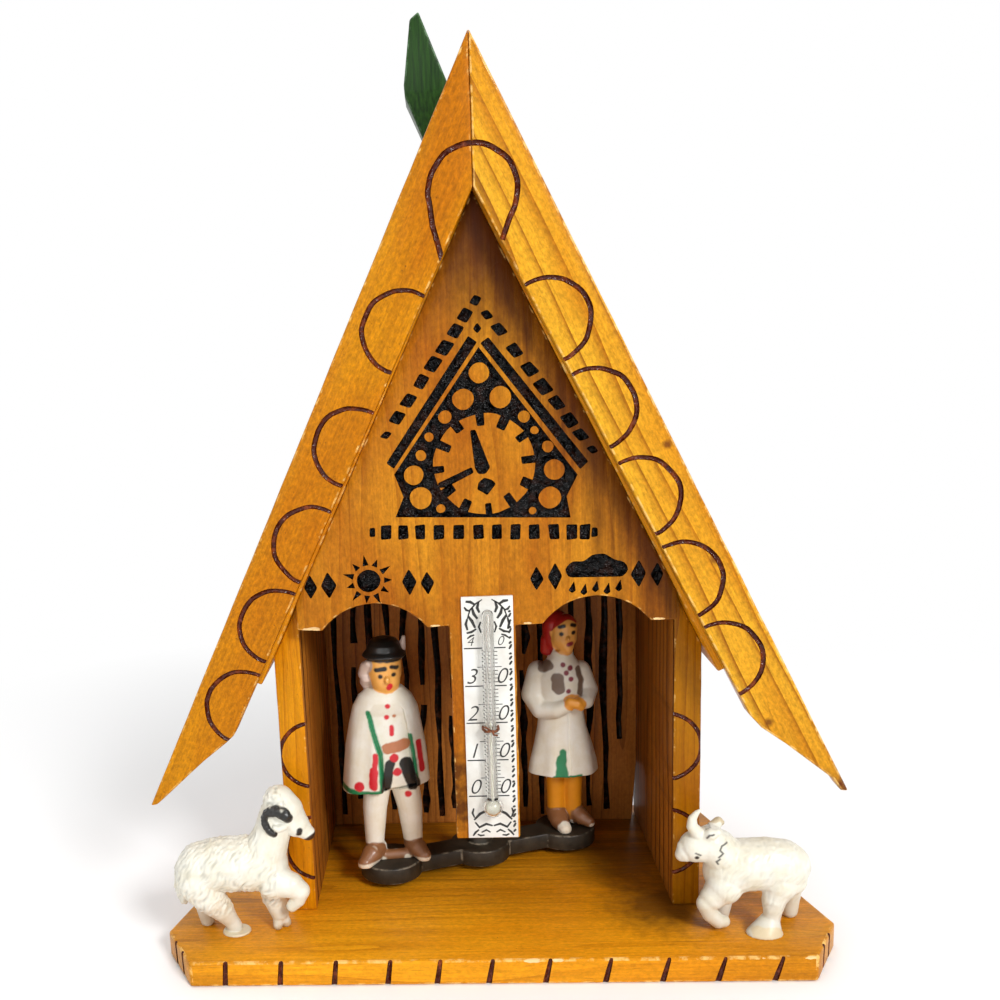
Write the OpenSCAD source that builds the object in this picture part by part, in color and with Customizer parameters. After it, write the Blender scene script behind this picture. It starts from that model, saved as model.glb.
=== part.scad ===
// Weather house: a small pine chalet whose two figures swing on a gut-hung turntable.
// Millimetres, +Z up. The origin is the centre of the base board's underside.
// The front of the house faces -Y.

/* [Base board] */
// Greatest width of the base board
base_w = 134; // [110:1:150]
// Width of the base board's front edge
base_front_w = 120; // [100:1:130]
// Width of the base board's back edge
base_back_w = 104; // [96:1:116]
// Depth of the base board, front to back
base_d = 72.5; // [70:0.5:80]
// Thickness of the base board
base_t = 5.2; // [3:0.1:8]
// Depth of the slanted front corners
base_corner_d = 12.3; // [6:0.1:16]
// Spacing of the burnt notches along the front edge
notch_pitch = 10.7; // [8:0.1:14]
// Lean of those notches
notch_lean = 16; // [0:1:24]

/* [Walls] */
// Distance from the front edge of the base to the wall fronts
wall_setback = 20.5; // [16:0.1:22]
// Thickness of the side walls
wall_t = 5.5; // [4:0.1:7]
// Clear width between the side walls
room_w = 74; // [70:0.5:80]
// Clear depth from the wall fronts to the back wall
room_d = 43; // [43:0.5:46]
// Thickness of the back wall
back_t = 4.5; // [3:0.1:6]
// Width of the tapered slit at the foot of the back wall
slit_w = 1.1; // [0.4:0.1:2]
// Height of that slit
slit_h = 15; // [8:0.5:24]

/* [Roof] */
// Half of the angle between the two roof slopes
roof_half_angle = 26.05; // [24:0.05:28]
// Height of the side walls' inner top edges
wall_top_z = 72; // [71:0.1:76]
// Thickness of the roof boards
roof_t = 6.5; // [5:0.1:9]
// How far the roof's underside runs out past the side walls
eave_overhang = 2.2; // [1.5:0.1:4.5]
// How far the roof runs past the back wall
roof_back_overhang = 3; // [0:0.1:4]

/* [Bargeboards] */
// Width of the bargeboards' front face
barge_w = 11.3; // [9:0.1:14]
// Thickness of the bargeboards
barge_t = 5; // [3:0.1:7]
// Height of the lowest point of the tails
tail_tip_z = 33.2; // [28:0.1:38]
// Width of the blunt end of the tails
tail_end_w = 2.2; // [1:0.1:4]
// Height at which the inner edge turns out into the tail
tail_turn_z = 46.8; // [42:0.1:50]
// Radius of the burnt scallops
scallop_r = 7.4; // [5:0.1:9]
// How far the scallop centres lie inside the inner edge
scallop_in = 1.3; // [0.5:0.1:3]
// How far the ring that crosses the ridge lies under it
crown_drop = 0.7; // [0:0.1:4]
// Radius of that ring
crown_r = 7.9; // [6:0.1:9]
// How far the left board's topmost scallop lies under the ridge
scallop_drop_left = 25.9; // [20:0.1:30]
// How far the right board's topmost scallop lies under the ridge
scallop_drop_right = 23.5; // [20:0.1:30]
// Height between scallops on the left board
scallop_step_left = 17.2; // [15:0.1:19]
// Height between scallops on the right board
scallop_step_right = 16.1; // [15:0.1:19]
// Width of the burnt grooves
groove_w = 1.1; // [0.6:0.1:1.6]

/* [Gable panel] */
// Thickness of the gable panel and its tongue
panel_t = 4; // [3:0.1:4.5]
// Height of the panel's lower edge
panel_z = 67; // [64:0.1:70]
// Clear gap between the panel's ends and the wall planes
panel_end_gap = 0.2; // [0.1:0.1:1]
// Distance of the door arches from the middle
arch_x = 21.5; // [19:0.1:23]
// Width of a door arch
arch_w = 20.6; // [16:0.1:22]
// Rise of a door arch
arch_h = 5.2; // [4:0.1:7]
// Width of the tongue that carries the thermometer
tongue_w = 12.8; // [11:0.1:14]
// Sideways place of the tongue
tongue_x = -0.5; // [-2:0.1:2]
// Height of the tongue's lower end
tongue_z = 22.6; // [18:0.1:30]

/* [Thermometer] */
// Width of the thermometer card
card_w = 10; // [8:0.1:11]
// Height of the thermometer card
card_h = 50; // [44:0.5:54]
// Thickness of the thermometer card
card_t = 0.6; // [0.3:0.1:1]
// Outer diameter of the glass tube
tube_d = 2.2; // [1.8:0.1:2.6]
// Diameter of the tube's bore
bore_d = 0.8; // [0.5:0.1:1]
// Outer diameter of the bulb
bulb_d = 4.1; // [3.4:0.1:4.4]
// Wall thickness of the bulb
bulb_wall = 0.45; // [0.3:0.05:0.6]
// Height of the bulb's centre above the card's lower edge
bulb_z = 7.2; // [5:0.1:9]
// Length of the tube above the bulb's centre
tube_l = 40.5; // [34:0.5:42]
// Height of the spirit above the bulb's centre
spirit_l = 18; // [6:0.5:30]
// Diameter of the staple's wire
staple_d = 0.6; // [0.4:0.1:0.8]
// Height of the staple above the bulb's centre
staple_z = 16.4; // [10:0.1:24]
// Depth of the staple's legs in the tongue
staple_bite = 2.2; // [1.5:0.1:3]

/* [Turntable] */
// Distance of the hanging axis behind the wall fronts
axis_back = 22; // [21.5:0.1:22.5]
// Sideways place of the hanging axis
axis_x = -1.7; // [-2:0.1:2]
// Distance of the figures' discs from the axis
arm_r = 21.4; // [20:0.1:22]
// Radius of the figures' discs
disc_r = 6.8; // [6:0.1:7.4]
// Radius of the middle disc
hub_r = 6.6; // [5:0.1:7]
// Width of the bar between the discs
bar_w = 6.4; // [4:0.1:8]
// Thickness of the turntable
plate_t = 3.6; // [2.5:0.1:5]
// Clearance between the turntable and the base board
plate_gap = 1.5; // [0.8:0.1:2.5]
// Turn of the turntable at rest
rest_turn = 21; // [0:1:30]
// Diameter of the stem
stem_d = 3; // [2.4:0.1:4]
// Height of the stem above the turntable
stem_h = 42; // [36:0.5:46]
// Outer diameter of the stem's socket
socket_d = 5.4; // [5:0.1:7]
// Height of the stem's socket
socket_h = 3; // [2:0.1:5]
// Depth of the stem in the turntable below the socket
stem_seat = 2.4; // [1.5:0.1:3]

/* [Gut suspension] */
// Diameter of the gut cord
gut_d = 1; // [0.6:0.1:1.4]
// Depth of the gut in the stem
gut_bite = 5; // [3:0.1:8]
// Height of the beam's underside
beam_z = 92; // [88:0.5:98]
// Width of the beam
beam_w = 9; // [8:0.1:12]
// Height of the beam
beam_h = 6; // [5:0.1:9]
// Diameter of the peg's shank
peg_d = 4; // [3.4:0.1:5]
// Diameter of the peg's head
peg_head_d = 6.4; // [6:0.1:8]
// Height of the peg's head
peg_head_h = 2.6; // [1.5:0.1:4]
// Length of the peg below the beam
peg_tail = 2; // [1:0.1:4]
// Radial clearance of every shank in its hole
shank_gap = 0.05; // [0.02:0.01:0.1]

/* [Chimney] */
// Depth of the chimney, front to back
chimney_d = 10; // [8:0.1:12]
// Distance of the chimney's front face behind the wall fronts
chimney_back = 14; // [10:0.1:20]
// Height of the chimney's highest edge above the roof ridge
chimney_rise = 20.5; // [16:0.1:26]
// Width of the chimney's foot on the left slope
chimney_foot_w = 4.7; // [4:0.1:6]
// How far the foot lies left of the ridge
chimney_foot_x = 0.3; // [0.1:0.1:2]
// How far the chimney's highest edge lies left of the ridge
chimney_lean = 8.6; // [7:0.1:10]
// Width of the chimney's slanted top
chimney_cap_w = 1.7; // [1:0.1:3]
// Height of the chimney above its undercut
chimney_head_h = 14.9; // [12:0.1:18]

/* [Figures] */
// Height of the man, hat included
man_h = 51; // [46:0.5:53]
// Height of the woman
woman_h = 52; // [46:0.5:54]
// Height of the ram
ram_h = 32; // [28:0.5:36]
// Height of the goat
goat_h = 25.2; // [22:0.5:30]
// Distance of the ram's middle from the base board's left end
ram_inset = 15.6; // [14:0.1:20]
// Distance of the ram's middle in front of the wall fronts
ram_front = 9; // [7:0.1:11]
// Distance of the goat's middle from the base board's right end
goat_inset = 16; // [14:0.1:20]
// Distance of the goat's middle in front of the wall fronts
goat_front = 8; // [7:0.1:11]

/* [Hidden] */
$fn = 48;
eps = 0.02;

// Planes that several boards share
front_y = -base_d / 2;
wall_y = front_y + wall_setback;
back_y = wall_y + room_d;
panel_y = wall_y - panel_t;
barge_y = panel_y - barge_t;
roof_back_y = back_y + back_t + roof_back_overhang;
wall_in = room_w / 2;
wall_out = wall_in + wall_t;
axis_y = wall_y + axis_back;
plate_z = base_t + plate_gap;
plate_top = plate_z + plate_t;

// Heights on the roof slopes
roof_slope = 1 / tan(roof_half_angle);
ridge_under_z = wall_top_z + roof_slope * wall_in;
roof_ridge_z = ridge_under_z + roof_t / sin(roof_half_angle);
barge_ridge_z = ridge_under_z + barge_w / sin(roof_half_angle);
function under_z(x) = ridge_under_z - roof_slope * abs(x);
function roof_z(x) = roof_ridge_z - roof_slope * abs(x);
function barge_x(z) = (barge_ridge_z - z) / roof_slope;

// Points on a quarter bend from a to c that is pulled towards b
function bend(a, b, c, n = 8) = [
    for (i = [0:n]) let (t = i / n) a * (1 - t) * (1 - t) + b * 2 * t * (1 - t) + c * t * t
];

wood_front = "#d98f2b";
wood_dark = "#8a5220";
paint_green = "#3f6137";
plastic_grey = "#5c5044";
plastic_white = "#e9e4d6";
card_white = "#f4f3ec";
glass_clear = "#c9d6cf";
spirit_pale = "#d8cf9e";
wire_rust = "#7a4a28";
gut_amber = "#cfae6a";

// Profiles drawn in XZ are laid upright, from y0 back by depth d
module upright(y0, d) {
    translate([0, y0 + d, 0])
        rotate([90, 0, 0])
            linear_extrude(d) children();
}

// Round burnt groove on a front face
module ring_groove(x, y, z, r) {
    translate([x, y, z])
        rotate([90, 0, 0])
            rotate_extrude($fn = 64)
                translate([r, 0]) circle(d = groove_w, $fn = 16);
}

// A swelling body through elliptic sections [height, x, y, half width, half depth]
module stack(sections, sides = 20) {
    for (i = [0:len(sections) - 2])
        hull()
            for (s = [sections[i], sections[i + 1]])
                translate([s[1], s[2], s[0]])
                    scale([s[3], s[4], 1]) cylinder(r = 1, h = eps, $fn = sides);
}

// A limb or trunk through balls [x, y, z, radius]
module limb(balls, sides = 14) {
    for (i = [0:len(balls) - 2])
        hull()
            for (b = [balls[i], balls[i + 1]])
                translate([b[0], b[1], b[2]]) sphere(r = b[3], $fn = sides);
}

// Keeps what lies above a floor height
module above(z) {
    intersection() {
        children();
        translate([-40, -40, z]) cube([80, 80, 80]);
    }
}

module base_board() {
    corner_y = front_y + base_corner_d;
    notches = floor(base_front_w / notch_pitch / 2 - 0.1);
    corner_turn = atan2((base_w - base_front_w) / 2, base_corner_d);
    color(wood_front)
        difference() {
            linear_extrude(base_t)
                polygon([
                    [-base_front_w / 2, front_y], [base_front_w / 2, front_y],
                    [base_w / 2, corner_y], [base_back_w / 2, -front_y],
                    [-base_back_w / 2, -front_y], [-base_w / 2, corner_y]
                ]);
            for (i = [-notches:notches])
                translate([i * notch_pitch, front_y, 0])
                    rotate([0, notch_lean, 0])
                        translate([0, 0, -1]) cylinder(d = groove_w, h = base_t + 3, $fn = 16);
            for (side = [-1, 1], part = [1, 2])
                translate([side * base_front_w / 2, front_y, -1])
                    rotate([0, 0, -side * corner_turn])
                        translate([0, part * base_corner_d / 3, 0])
                            cylinder(d = groove_w, h = base_t + 2, $fn = 16);
        }
}

module wall() {
    arc_x = wall_in - 1.4;
    arc_r = 7;
    arc_low_z = base_t + 14.1;
    arc_step = 20.5;
    difference() {
        upright(wall_y, room_d + back_t)
            polygon([
                [wall_in, base_t], [wall_out, base_t],
                [wall_out, under_z(wall_out)], [wall_in, under_z(wall_in)]
            ]);
        for (i = [0, 1]) ring_groove(arc_x, wall_y, arc_low_z + i * arc_step, arc_r);
    }
}

module left_wall() {
    color(wood_front) mirror([1, 0, 0]) wall();
}

module right_wall() {
    color(wood_front) wall();
}

module back_wall() {
    color(wood_dark)
        upright(back_y, back_t)
            polygon([
                [-wall_in, base_t], [wall_in - slit_w, base_t], [wall_in, base_t + slit_h],
                [wall_in, under_z(wall_in)], [0, ridge_under_z], [-wall_in, under_z(wall_in)]
            ]);
}

// Front view of the panel with its arches and the hanging tongue
module panel_face() {
    half_w = wall_in - panel_end_gap;
    arch_r = (arch_w * arch_w / 4 + arch_h * arch_h) / (2 * arch_h);
    difference() {
        polygon([
            [-half_w, panel_z], [half_w, panel_z], [half_w, under_z(half_w)],
            [0, ridge_under_z], [-half_w, under_z(half_w)]
        ]);
        for (side = [-1, 1])
            translate([side * arch_x, panel_z + arch_h - arch_r]) circle(r = arch_r);
    }
    translate([tongue_x - tongue_w / 2, tongue_z]) square([tongue_w, panel_z - tongue_z + eps]);
}

// Places on the thermometer, which hangs at the right of the tongue
card_x = tongue_x + (tongue_w - card_w) / 2 - 0.4;
card_z = tongue_z + 0.4;
card_y = panel_y - card_t;
tube_y = panel_y - bulb_d / 2 - 0.1;
bulb_at = card_z + bulb_z;
staple_r = tube_d / 2 + staple_d / 2 + 0.1;
staple_l = panel_y + staple_bite - tube_y;

// The two holes that take the staple's legs
module staple_holes() {
    for (side = [-1, 1])
        translate([card_x + side * staple_r, card_y - 1, bulb_at + staple_z])
            rotate([-90, 0, 0])
                cylinder(d = staple_d + 2 * shank_gap, h = 1 + card_t + staple_bite + 0.2, $fn = 24);
}

module gable_panel() {
    color(wood_front)
        difference() {
            upright(panel_y, panel_t) panel_face();
            staple_holes();
        }
}

module thermometer_card() {
    color(card_white)
        difference() {
            translate([card_x - card_w / 2, card_y, card_z]) cube([card_w, card_t, card_h]);
            translate([card_x, card_y - 1, bulb_at])
                rotate([-90, 0, 0])
                    cylinder(d = bulb_d + 2 * shank_gap, h = card_t + 2);
            staple_holes();
        }
}

// Bulb and stem of the glass, or of the spirit inside it
module bulb_and_stem(bulb, stem, l) {
    translate([card_x, tube_y, bulb_at]) {
        sphere(d = bulb);
        cylinder(d = stem, h = l - stem / 2, $fn = 32);
        translate([0, 0, l - stem / 2]) sphere(d = stem, $fn = 32);
    }
}

module thermometer_tube() {
    color(glass_clear)
        difference() {
            bulb_and_stem(bulb_d, tube_d, tube_l);
            bulb_and_stem(bulb_d - 2 * bulb_wall, bore_d, tube_l - 1);
        }
}

module spirit_column() {
    color(spirit_pale)
        bulb_and_stem(bulb_d - 2 * bulb_wall - 2 * shank_gap, bore_d - 2 * shank_gap, spirit_l);
}

module tube_staple() {
    color(wire_rust)
        translate([card_x, tube_y, bulb_at + staple_z]) {
            rotate([180, 0, 0])
                rotate_extrude(angle = 180, $fn = 48)
                    translate([staple_r, 0]) circle(d = staple_d, $fn = 24);
            for (side = [-1, 1])
                translate([side * staple_r, 0, 0])
                    rotate([-90, 0, 0]) cylinder(d = staple_d, h = staple_l, $fn = 24);
        }
}

// Right half of the roof: one board with a mitred ridge and a square-cut eave
module roof_board() {
    eave_x = wall_out + eave_overhang;
    eave_z = under_z(eave_x);
    upright(panel_y, roof_back_y - panel_y)
        polygon([
            [0, ridge_under_z], [eave_x, eave_z],
            [eave_x + roof_t * cos(roof_half_angle), eave_z + roof_t * sin(roof_half_angle)],
            [0, roof_ridge_z]
        ]);
}

module left_roof_board() {
    color(wood_front) mirror([1, 0, 0]) roof_board();
}

module right_roof_board() {
    color(wood_front) roof_board();
}

// Right bargeboard with its pointed tail and its row of burnt scallops
module bargeboard(scallop_drop, scallop_step) {
    turn_x = (ridge_under_z - tail_turn_z) / roof_slope;
    tip_x = barge_x(tail_tip_z);
    inner = [turn_x, tail_turn_z];
    above_turn = inner + 5 * [-sin(roof_half_angle), cos(roof_half_angle)];
    tail_end = [tip_x - tail_end_w, tail_tip_z];
    below_turn = inner + 0.3 * (tail_end - inner);
    scallop_out = scallop_in / cos(roof_half_angle);
    difference() {
        upright(barge_y, barge_t)
            polygon(concat(
                [[0, ridge_under_z], [0, barge_ridge_z], [tip_x, tail_tip_z], tail_end],
                bend(below_turn, inner, above_turn)
            ));
        ring_groove(0, barge_y, ridge_under_z - crown_drop, crown_r);
        for (i = [0:4]) {
            z = ridge_under_z - scallop_drop - i * scallop_step;
            ring_groove((ridge_under_z - z) / roof_slope + scallop_out, barge_y, z, scallop_r);
        }
    }
}

module left_bargeboard() {
    color(wood_front) mirror([1, 0, 0]) bargeboard(scallop_drop_left, scallop_step_left);
}

module right_bargeboard() {
    color(wood_front) bargeboard(scallop_drop_right, scallop_step_right);
}

// Slanted green block that stands on the left roof slope, cut away under its head
module chimney() {
    y0 = wall_y + chimney_back;
    foot_right = -chimney_foot_x;
    foot_left = foot_right - chimney_foot_w;
    top_z = roof_ridge_z + chimney_rise;
    waist_z = top_z - chimney_head_h;
    cap_left = -chimney_lean - chimney_cap_w;
    head_left = cap_left - 1.5;
    undercut_turn = 18;
    color(paint_green)
        difference() {
            upright(y0, chimney_d)
                polygon([
                    [foot_left, roof_z(foot_left)], [foot_right, roof_z(foot_right)],
                    [-chimney_lean, top_z], [cap_left, top_z - 1.3],
                    [head_left - 0.1, waist_z + 2], [head_left, waist_z]
                ]);
            translate([2 * head_left, y0, waist_z + 1])
                rotate([undercut_turn, 0, 0])
                    translate([0, -chimney_d, -2 * chimney_head_h])
                        cube([-2 * head_left, chimney_d, 2 * chimney_head_h]);
        }
}

// Beam from the gable panel to the back wall, high above the turntable
module gut_beam() {
    color(wood_dark)
        difference() {
            translate([axis_x - beam_w / 2, wall_y, beam_z]) cube([beam_w, room_d, beam_h]);
            translate([axis_x, axis_y, beam_z - 1])
                cylinder(d = peg_d + 2 * shank_gap, h = beam_h + 2);
        }
}

module gut_peg() {
    peg_z = beam_z - peg_tail;
    color(wood_front)
        translate([axis_x, axis_y, 0])
            difference() {
                union() {
                    translate([0, 0, peg_z]) cylinder(d = peg_d, h = peg_tail + beam_h + 0.5);
                    translate([0, 0, beam_z + beam_h]) cylinder(d = peg_head_d, h = peg_head_h);
                }
                translate([0, 0, peg_z - 1])
                    cylinder(d = gut_d + 2 * shank_gap, h = peg_tail + beam_h + peg_head_h + 2, $fn = 32);
            }
}

module gut_cord() {
    low_z = plate_top + stem_h - gut_bite;
    high_z = beam_z + beam_h + peg_head_h;
    color(gut_amber)
        translate([axis_x, axis_y, low_z]) cylinder(d = gut_d, h = high_z - low_z, $fn = 32);
}

module turntable() {
    color(plastic_grey)
        translate([axis_x, axis_y, plate_z])
            rotate([0, 0, rest_turn])
                difference() {
                    union() {
                        linear_extrude(plate_t) {
                            circle(r = hub_r);
                            for (side = [-1, 1]) translate([side * arm_r, 0]) circle(r = disc_r);
                            translate([-arm_r, -bar_w / 2]) square([2 * arm_r, bar_w]);
                        }
                        cylinder(d = socket_d, h = plate_t + socket_h);
                    }
                    translate([0, 0, plate_t - stem_seat])
                        cylinder(d = stem_d + 2 * shank_gap, h = stem_seat + socket_h + 1);
                }
}

module turntable_stem() {
    color(wood_dark)
        translate([axis_x, axis_y, plate_top])
            difference() {
                translate([0, 0, -stem_seat]) cylinder(d = stem_d, h = stem_seat + stem_h);
                translate([0, 0, stem_h - gut_bite])
                    cylinder(d = gut_d + 2 * shank_gap, h = gut_bite + 1, $fn = 32);
            }
}

// Sets a figure on a disc of the turntable: side -1 is the left disc
module on_disc(side) {
    translate([
        axis_x + side * arm_r * cos(rest_turn), axis_y + side * arm_r * sin(rest_turn), plate_top
    ]) children();
}

// A shoe with its heel at the origin and its toe turned by the angle
module shoe(x, y, turn, l) {
    translate([x, y, 0])
        rotate([0, 0, turn])
            hull() {
                translate([0, 0.6, 1.6]) sphere(r = 2.1, $fn = 16);
                translate([0, -l, 1]) sphere(r = 1.9, $fn = 16);
                translate([0, -l / 2, 1.2]) sphere(r = 2.5, $fn = 16);
            }
}

// Man in a round hat and an open cape, 51 mm tall as drawn
module man_figure() {
    cape = [
        [17.2, -0.4, 0.6, 9.4, 5.6], [24, -0.4, 0.7, 8.9, 5.7], [31, -0.2, 0.8, 8.1, 5.2],
        [35.4, 0, 0.7, 6.6, 4.6], [38, 0.2, 0.5, 4, 3.6]
    ];
    hat = [
        [45.6, 0.5, 0, 4.9, 4.9], [46.6, 0.5, 0, 4.9, 4.9], [48.4, 0.5, 0.1, 4.6, 4.6],
        [50, 0.6, 0.2, 3.6, 3.6], [51, 0.6, 0.2, 1.6, 1.6]
    ];
    color(plastic_white)
        on_disc(-1) scale(man_h / 51) above(0) {
            difference() {
                stack(cape, 28);
                hull() {
                    translate([-4.6, -9, 16]) cube([9.6, 6, 1]);
                    translate([-1.5, -9, 36]) cube([3, 6, 1]);
                }
            }
            stack([
                [16, 0.6, 0, 4.8, 3.6], [23, 0.6, 0, 5, 3.9], [30, 0.3, -0.2, 5.6, 4.2],
                [36, 0.2, 0, 5, 3.9], [39, 0.3, 0, 2.8, 2.6]
            ]);
            limb([[0.6, -0.2, 42.2, 4], [0.9, -0.5, 44.4, 4.2]], 20);
            limb([[-2.6, 1.4, 41.2, 2.6], [-2.2, 1.2, 45.6, 3]]);
            stack(hat, 28);
            limb([[-1.8, 0, 18, 2.9], [-2.4, 0, 12, 2.4], [-2.8, 0, 4, 1.8]], 16);
            limb([[3.2, 0.2, 18, 2.9], [3.9, 0.2, 12, 2.4], [4.2, 0.2, 4, 1.8]], 16);
            shoe(-2.8, -0.4, -38, 4.6);
            shoe(4.2, 0, 42, 4.6);
            limb([[-2, -0.4, 1.2, 1.6], [3.4, 0, 1.2, 1.6]], 12);
        }
}

// Woman in a headscarf and a flared coat with folded arms, 52 mm tall as drawn
module woman_figure() {
    coat = [
        [13.6, -0.2, 0.2, 7.9, 5.4], [18, -0.2, 0.2, 7, 4.9], [23, -0.3, 0.1, 5.6, 4.2],
        [27.4, -0.5, 0, 4.7, 3.6], [32, -0.6, 0, 5.4, 3.9], [36.4, -0.6, 0.1, 5.8, 3.8],
        [40, -0.4, 0, 3.6, 3], [42, -0.4, -0.2, 2.2, 2.2]
    ];
    color(plastic_white)
        on_disc(1) scale(woman_h / 52) above(0) {
            stack(coat, 24);
            limb([[-5.2, 0.4, 37, 2.5], [-6, 0.2, 31.6, 2.6], [-1, -3.4, 30, 1.9], [1.6, -4, 30.6, 1.7]], 16);
            limb([[4, 0.4, 37, 2.5], [5, 0.2, 31.8, 2.5], [2, -3.8, 31, 1.8]], 16);
            limb([[-0.4, -0.8, 45.6, 3.4], [-0.2, -0.8, 47.6, 3.5]], 20);
            limb([[-0.9, 0.6, 45, 3.3], [-0.7, 0.4, 48.4, 3.5]], 20);
            stack([[9, -1.8, 0.4, 1.9, 2], [14.4, -1.8, 0.2, 2.2, 2.3]], 16);
            stack([[9, 1.6, 0.4, 1.9, 2], [14.4, 1.6, 0.2, 2.2, 2.3]], 16);
            limb([[-1.8, 0.6, 8, 2.2], [-2, 0.4, 2, 2]], 16);
            limb([[1.6, 0.6, 8, 2.2], [1.9, 0.4, 2, 2]], 16);
            shoe(-1.9, 0, 10, 3.6);
            shoe(2, 0, 44, 3.6);
        }
}

// Half turn of a curled horn with its axis along Y
module curled_horn(x, y, z, r, thick) {
    steps = 7;
    limb([
        for (i = [0:steps]) let (a = 20 + i * 250 / steps)
            [x + r * cos(a), y, z + r * sin(a), thick * (1 - 0.45 * i / steps)]
    ], 10);
}

// Ram that steps to the right, 32 mm tall as drawn, with its hind foot on a round pad
module ram_figure() {
    color(plastic_white)
        translate([ram_inset - base_w / 2, wall_y - ram_front, base_t]) scale(ram_h / 32) above(0) {
            scale([1, 0.84, 1])
                limb([[-7, 0, 14.6, 5.5], [-0.6, 0, 15.4, 5.1], [5.6, 0, 15.4, 5.4], [7.2, 0, 13.4, 4.9]], 20);
            limb([[5.4, 0, 17.6, 4.4], [8.6, 0, 23.6, 3.7]], 18);
            limb([[9.9, 0, 27.8, 4.1], [12.2, 0, 25.2, 3], [14.4, 0, 21.9, 1.9]], 18);
            for (side = [-1, 1]) curled_horn(8.2, side * 3.7, 24.6, 2.7, 1.25);
            limb([[-8.6, -2.2, 11, 3.4], [-3.6, -2.2, 7, 2.2], [-1.6, -2.2, 1.6, 1.6]], 14);
            translate([-1.2, -1.8, 0]) cylinder(r = 3, h = 0.6, $fn = 24);
            limb([[-8.6, 2.6, 11, 3.2], [-8, 2.8, 6.4, 2], [-6.6, 3, 0.8, 1.6]], 14);
            limb([[7.6, 2.2, 11.6, 3.2], [6.6, 2.3, 6.4, 2], [8, 2.4, 0.9, 1.6]], 14);
            limb([[8, -2, 12, 3.2], [12.4, -2.2, 9.8, 2], [10.4, -2.2, 6.2, 1.4]], 14);
            limb([[-11.6, 0, 15.6, 1.5], [-12, 0, 10.4, 1.2]], 12);
        }
}

// Goat that steps to the left, 25.2 mm tall as drawn, with a hind foot on a round pad
module goat_figure() {
    color(plastic_white)
        translate([base_w / 2 - goat_inset, wall_y - goat_front, base_t]) scale(goat_h / 25.2) above(0) {
            scale([1, 0.86, 1])
                limb([[5.4, 0, 12.3, 5.4], [-1, 0, 12.2, 5.6], [-4.8, 0, 10.6, 5]], 20);
            limb([[-4.6, 0, 12.6, 4.4], [-8, -0.4, 17, 3.6]], 18);
            limb([[-8.6, -0.4, 17.7, 3.9], [-10.6, -0.6, 17, 3.2], [-13.2, -0.8, 15.8, 2.2]], 18);
            limb([[-10.4, -1.6, 20, 1.3], [-11.6, -1.9, 22.4, 1], [-11, -2, 24.6, 0.6]], 10);
            limb([[-7.6, -1.6, 20, 1.4], [-6.6, -2.4, 20.6, 1.2]], 10);
            limb([[-9, 1.6, 20, 1.3], [-9.4, 1.9, 22.2, 1], [-8.8, 2, 24, 0.6]], 10);
            limb([[-6.4, -2, 9.4, 3.4], [-9, -2.4, 5.4, 2], [-6.4, -2.4, 2, 1.5]], 14);
            limb([[-5.4, 2.2, 8, 3], [-5, 2.4, 3.6, 1.9], [-5.4, 2.4, 0.8, 1.5]], 14);
            limb([[5, -2, 8.6, 3.2], [3.8, -2.8, 4.2, 2], [2.4, -3.2, 0.8, 1.9]], 14);
            translate([1.8, -3.4, 0]) cylinder(r = 3, h = 0.6, $fn = 24);
            limb([[7.6, 2.2, 8.4, 3], [8.2, 2.8, 3.6, 1.7], [8.4, 3, 0.8, 1.6]], 14);
            limb([[9.6, 0, 13.6, 1.4], [10.2, 0, 8.4, 1]], 12);
        }
}

base_board();
left_wall();
right_wall();
back_wall();
gable_panel();
left_roof_board();
right_roof_board();
left_bargeboard();
right_bargeboard();
chimney();
thermometer_card();
thermometer_tube();
spirit_column();
tube_staple();
gut_beam();
gut_peg();
gut_cord();
turntable();
turntable_stem();
man_figure();
woman_figure();
ram_figure();
goat_figure();
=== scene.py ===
import math

import bmesh
import bpy
import numpy as np
from mathutils import Matrix, Vector, noise


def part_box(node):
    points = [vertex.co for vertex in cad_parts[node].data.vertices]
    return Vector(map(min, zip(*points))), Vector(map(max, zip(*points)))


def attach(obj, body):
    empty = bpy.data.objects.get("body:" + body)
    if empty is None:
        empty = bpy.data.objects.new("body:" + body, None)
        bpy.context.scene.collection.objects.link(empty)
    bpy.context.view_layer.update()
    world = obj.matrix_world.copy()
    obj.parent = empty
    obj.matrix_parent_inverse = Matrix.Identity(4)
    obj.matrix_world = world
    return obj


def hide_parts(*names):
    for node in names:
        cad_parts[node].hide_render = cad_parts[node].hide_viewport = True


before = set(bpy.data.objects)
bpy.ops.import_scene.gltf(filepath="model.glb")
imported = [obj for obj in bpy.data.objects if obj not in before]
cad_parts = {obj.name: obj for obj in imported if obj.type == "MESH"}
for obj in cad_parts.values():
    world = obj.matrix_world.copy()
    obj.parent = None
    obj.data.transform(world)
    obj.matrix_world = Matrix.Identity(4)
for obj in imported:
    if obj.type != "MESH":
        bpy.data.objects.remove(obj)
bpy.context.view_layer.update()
scene = bpy.context.scene
mm = 0.001
noise.seed_set(7)  # noise_vector would start from the clock otherwise
roofAngle = 26.05  # degrees between a roof slope and the vertical
roofSlope = 1 / math.tan(math.radians(roofAngle))
print("frame loaded:", len(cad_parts), "nodes")


# helpers for materials

def srgb(red, green, blue):
    # 0 to 255 as seen on a screen, turned into linear light
    def linear(value):
        value /= 255
        return value / 12.92 if value <= 0.04045 else ((value + 0.055) / 1.055) ** 2.4
    return (linear(red), linear(green), linear(blue), 1.0)


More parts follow.
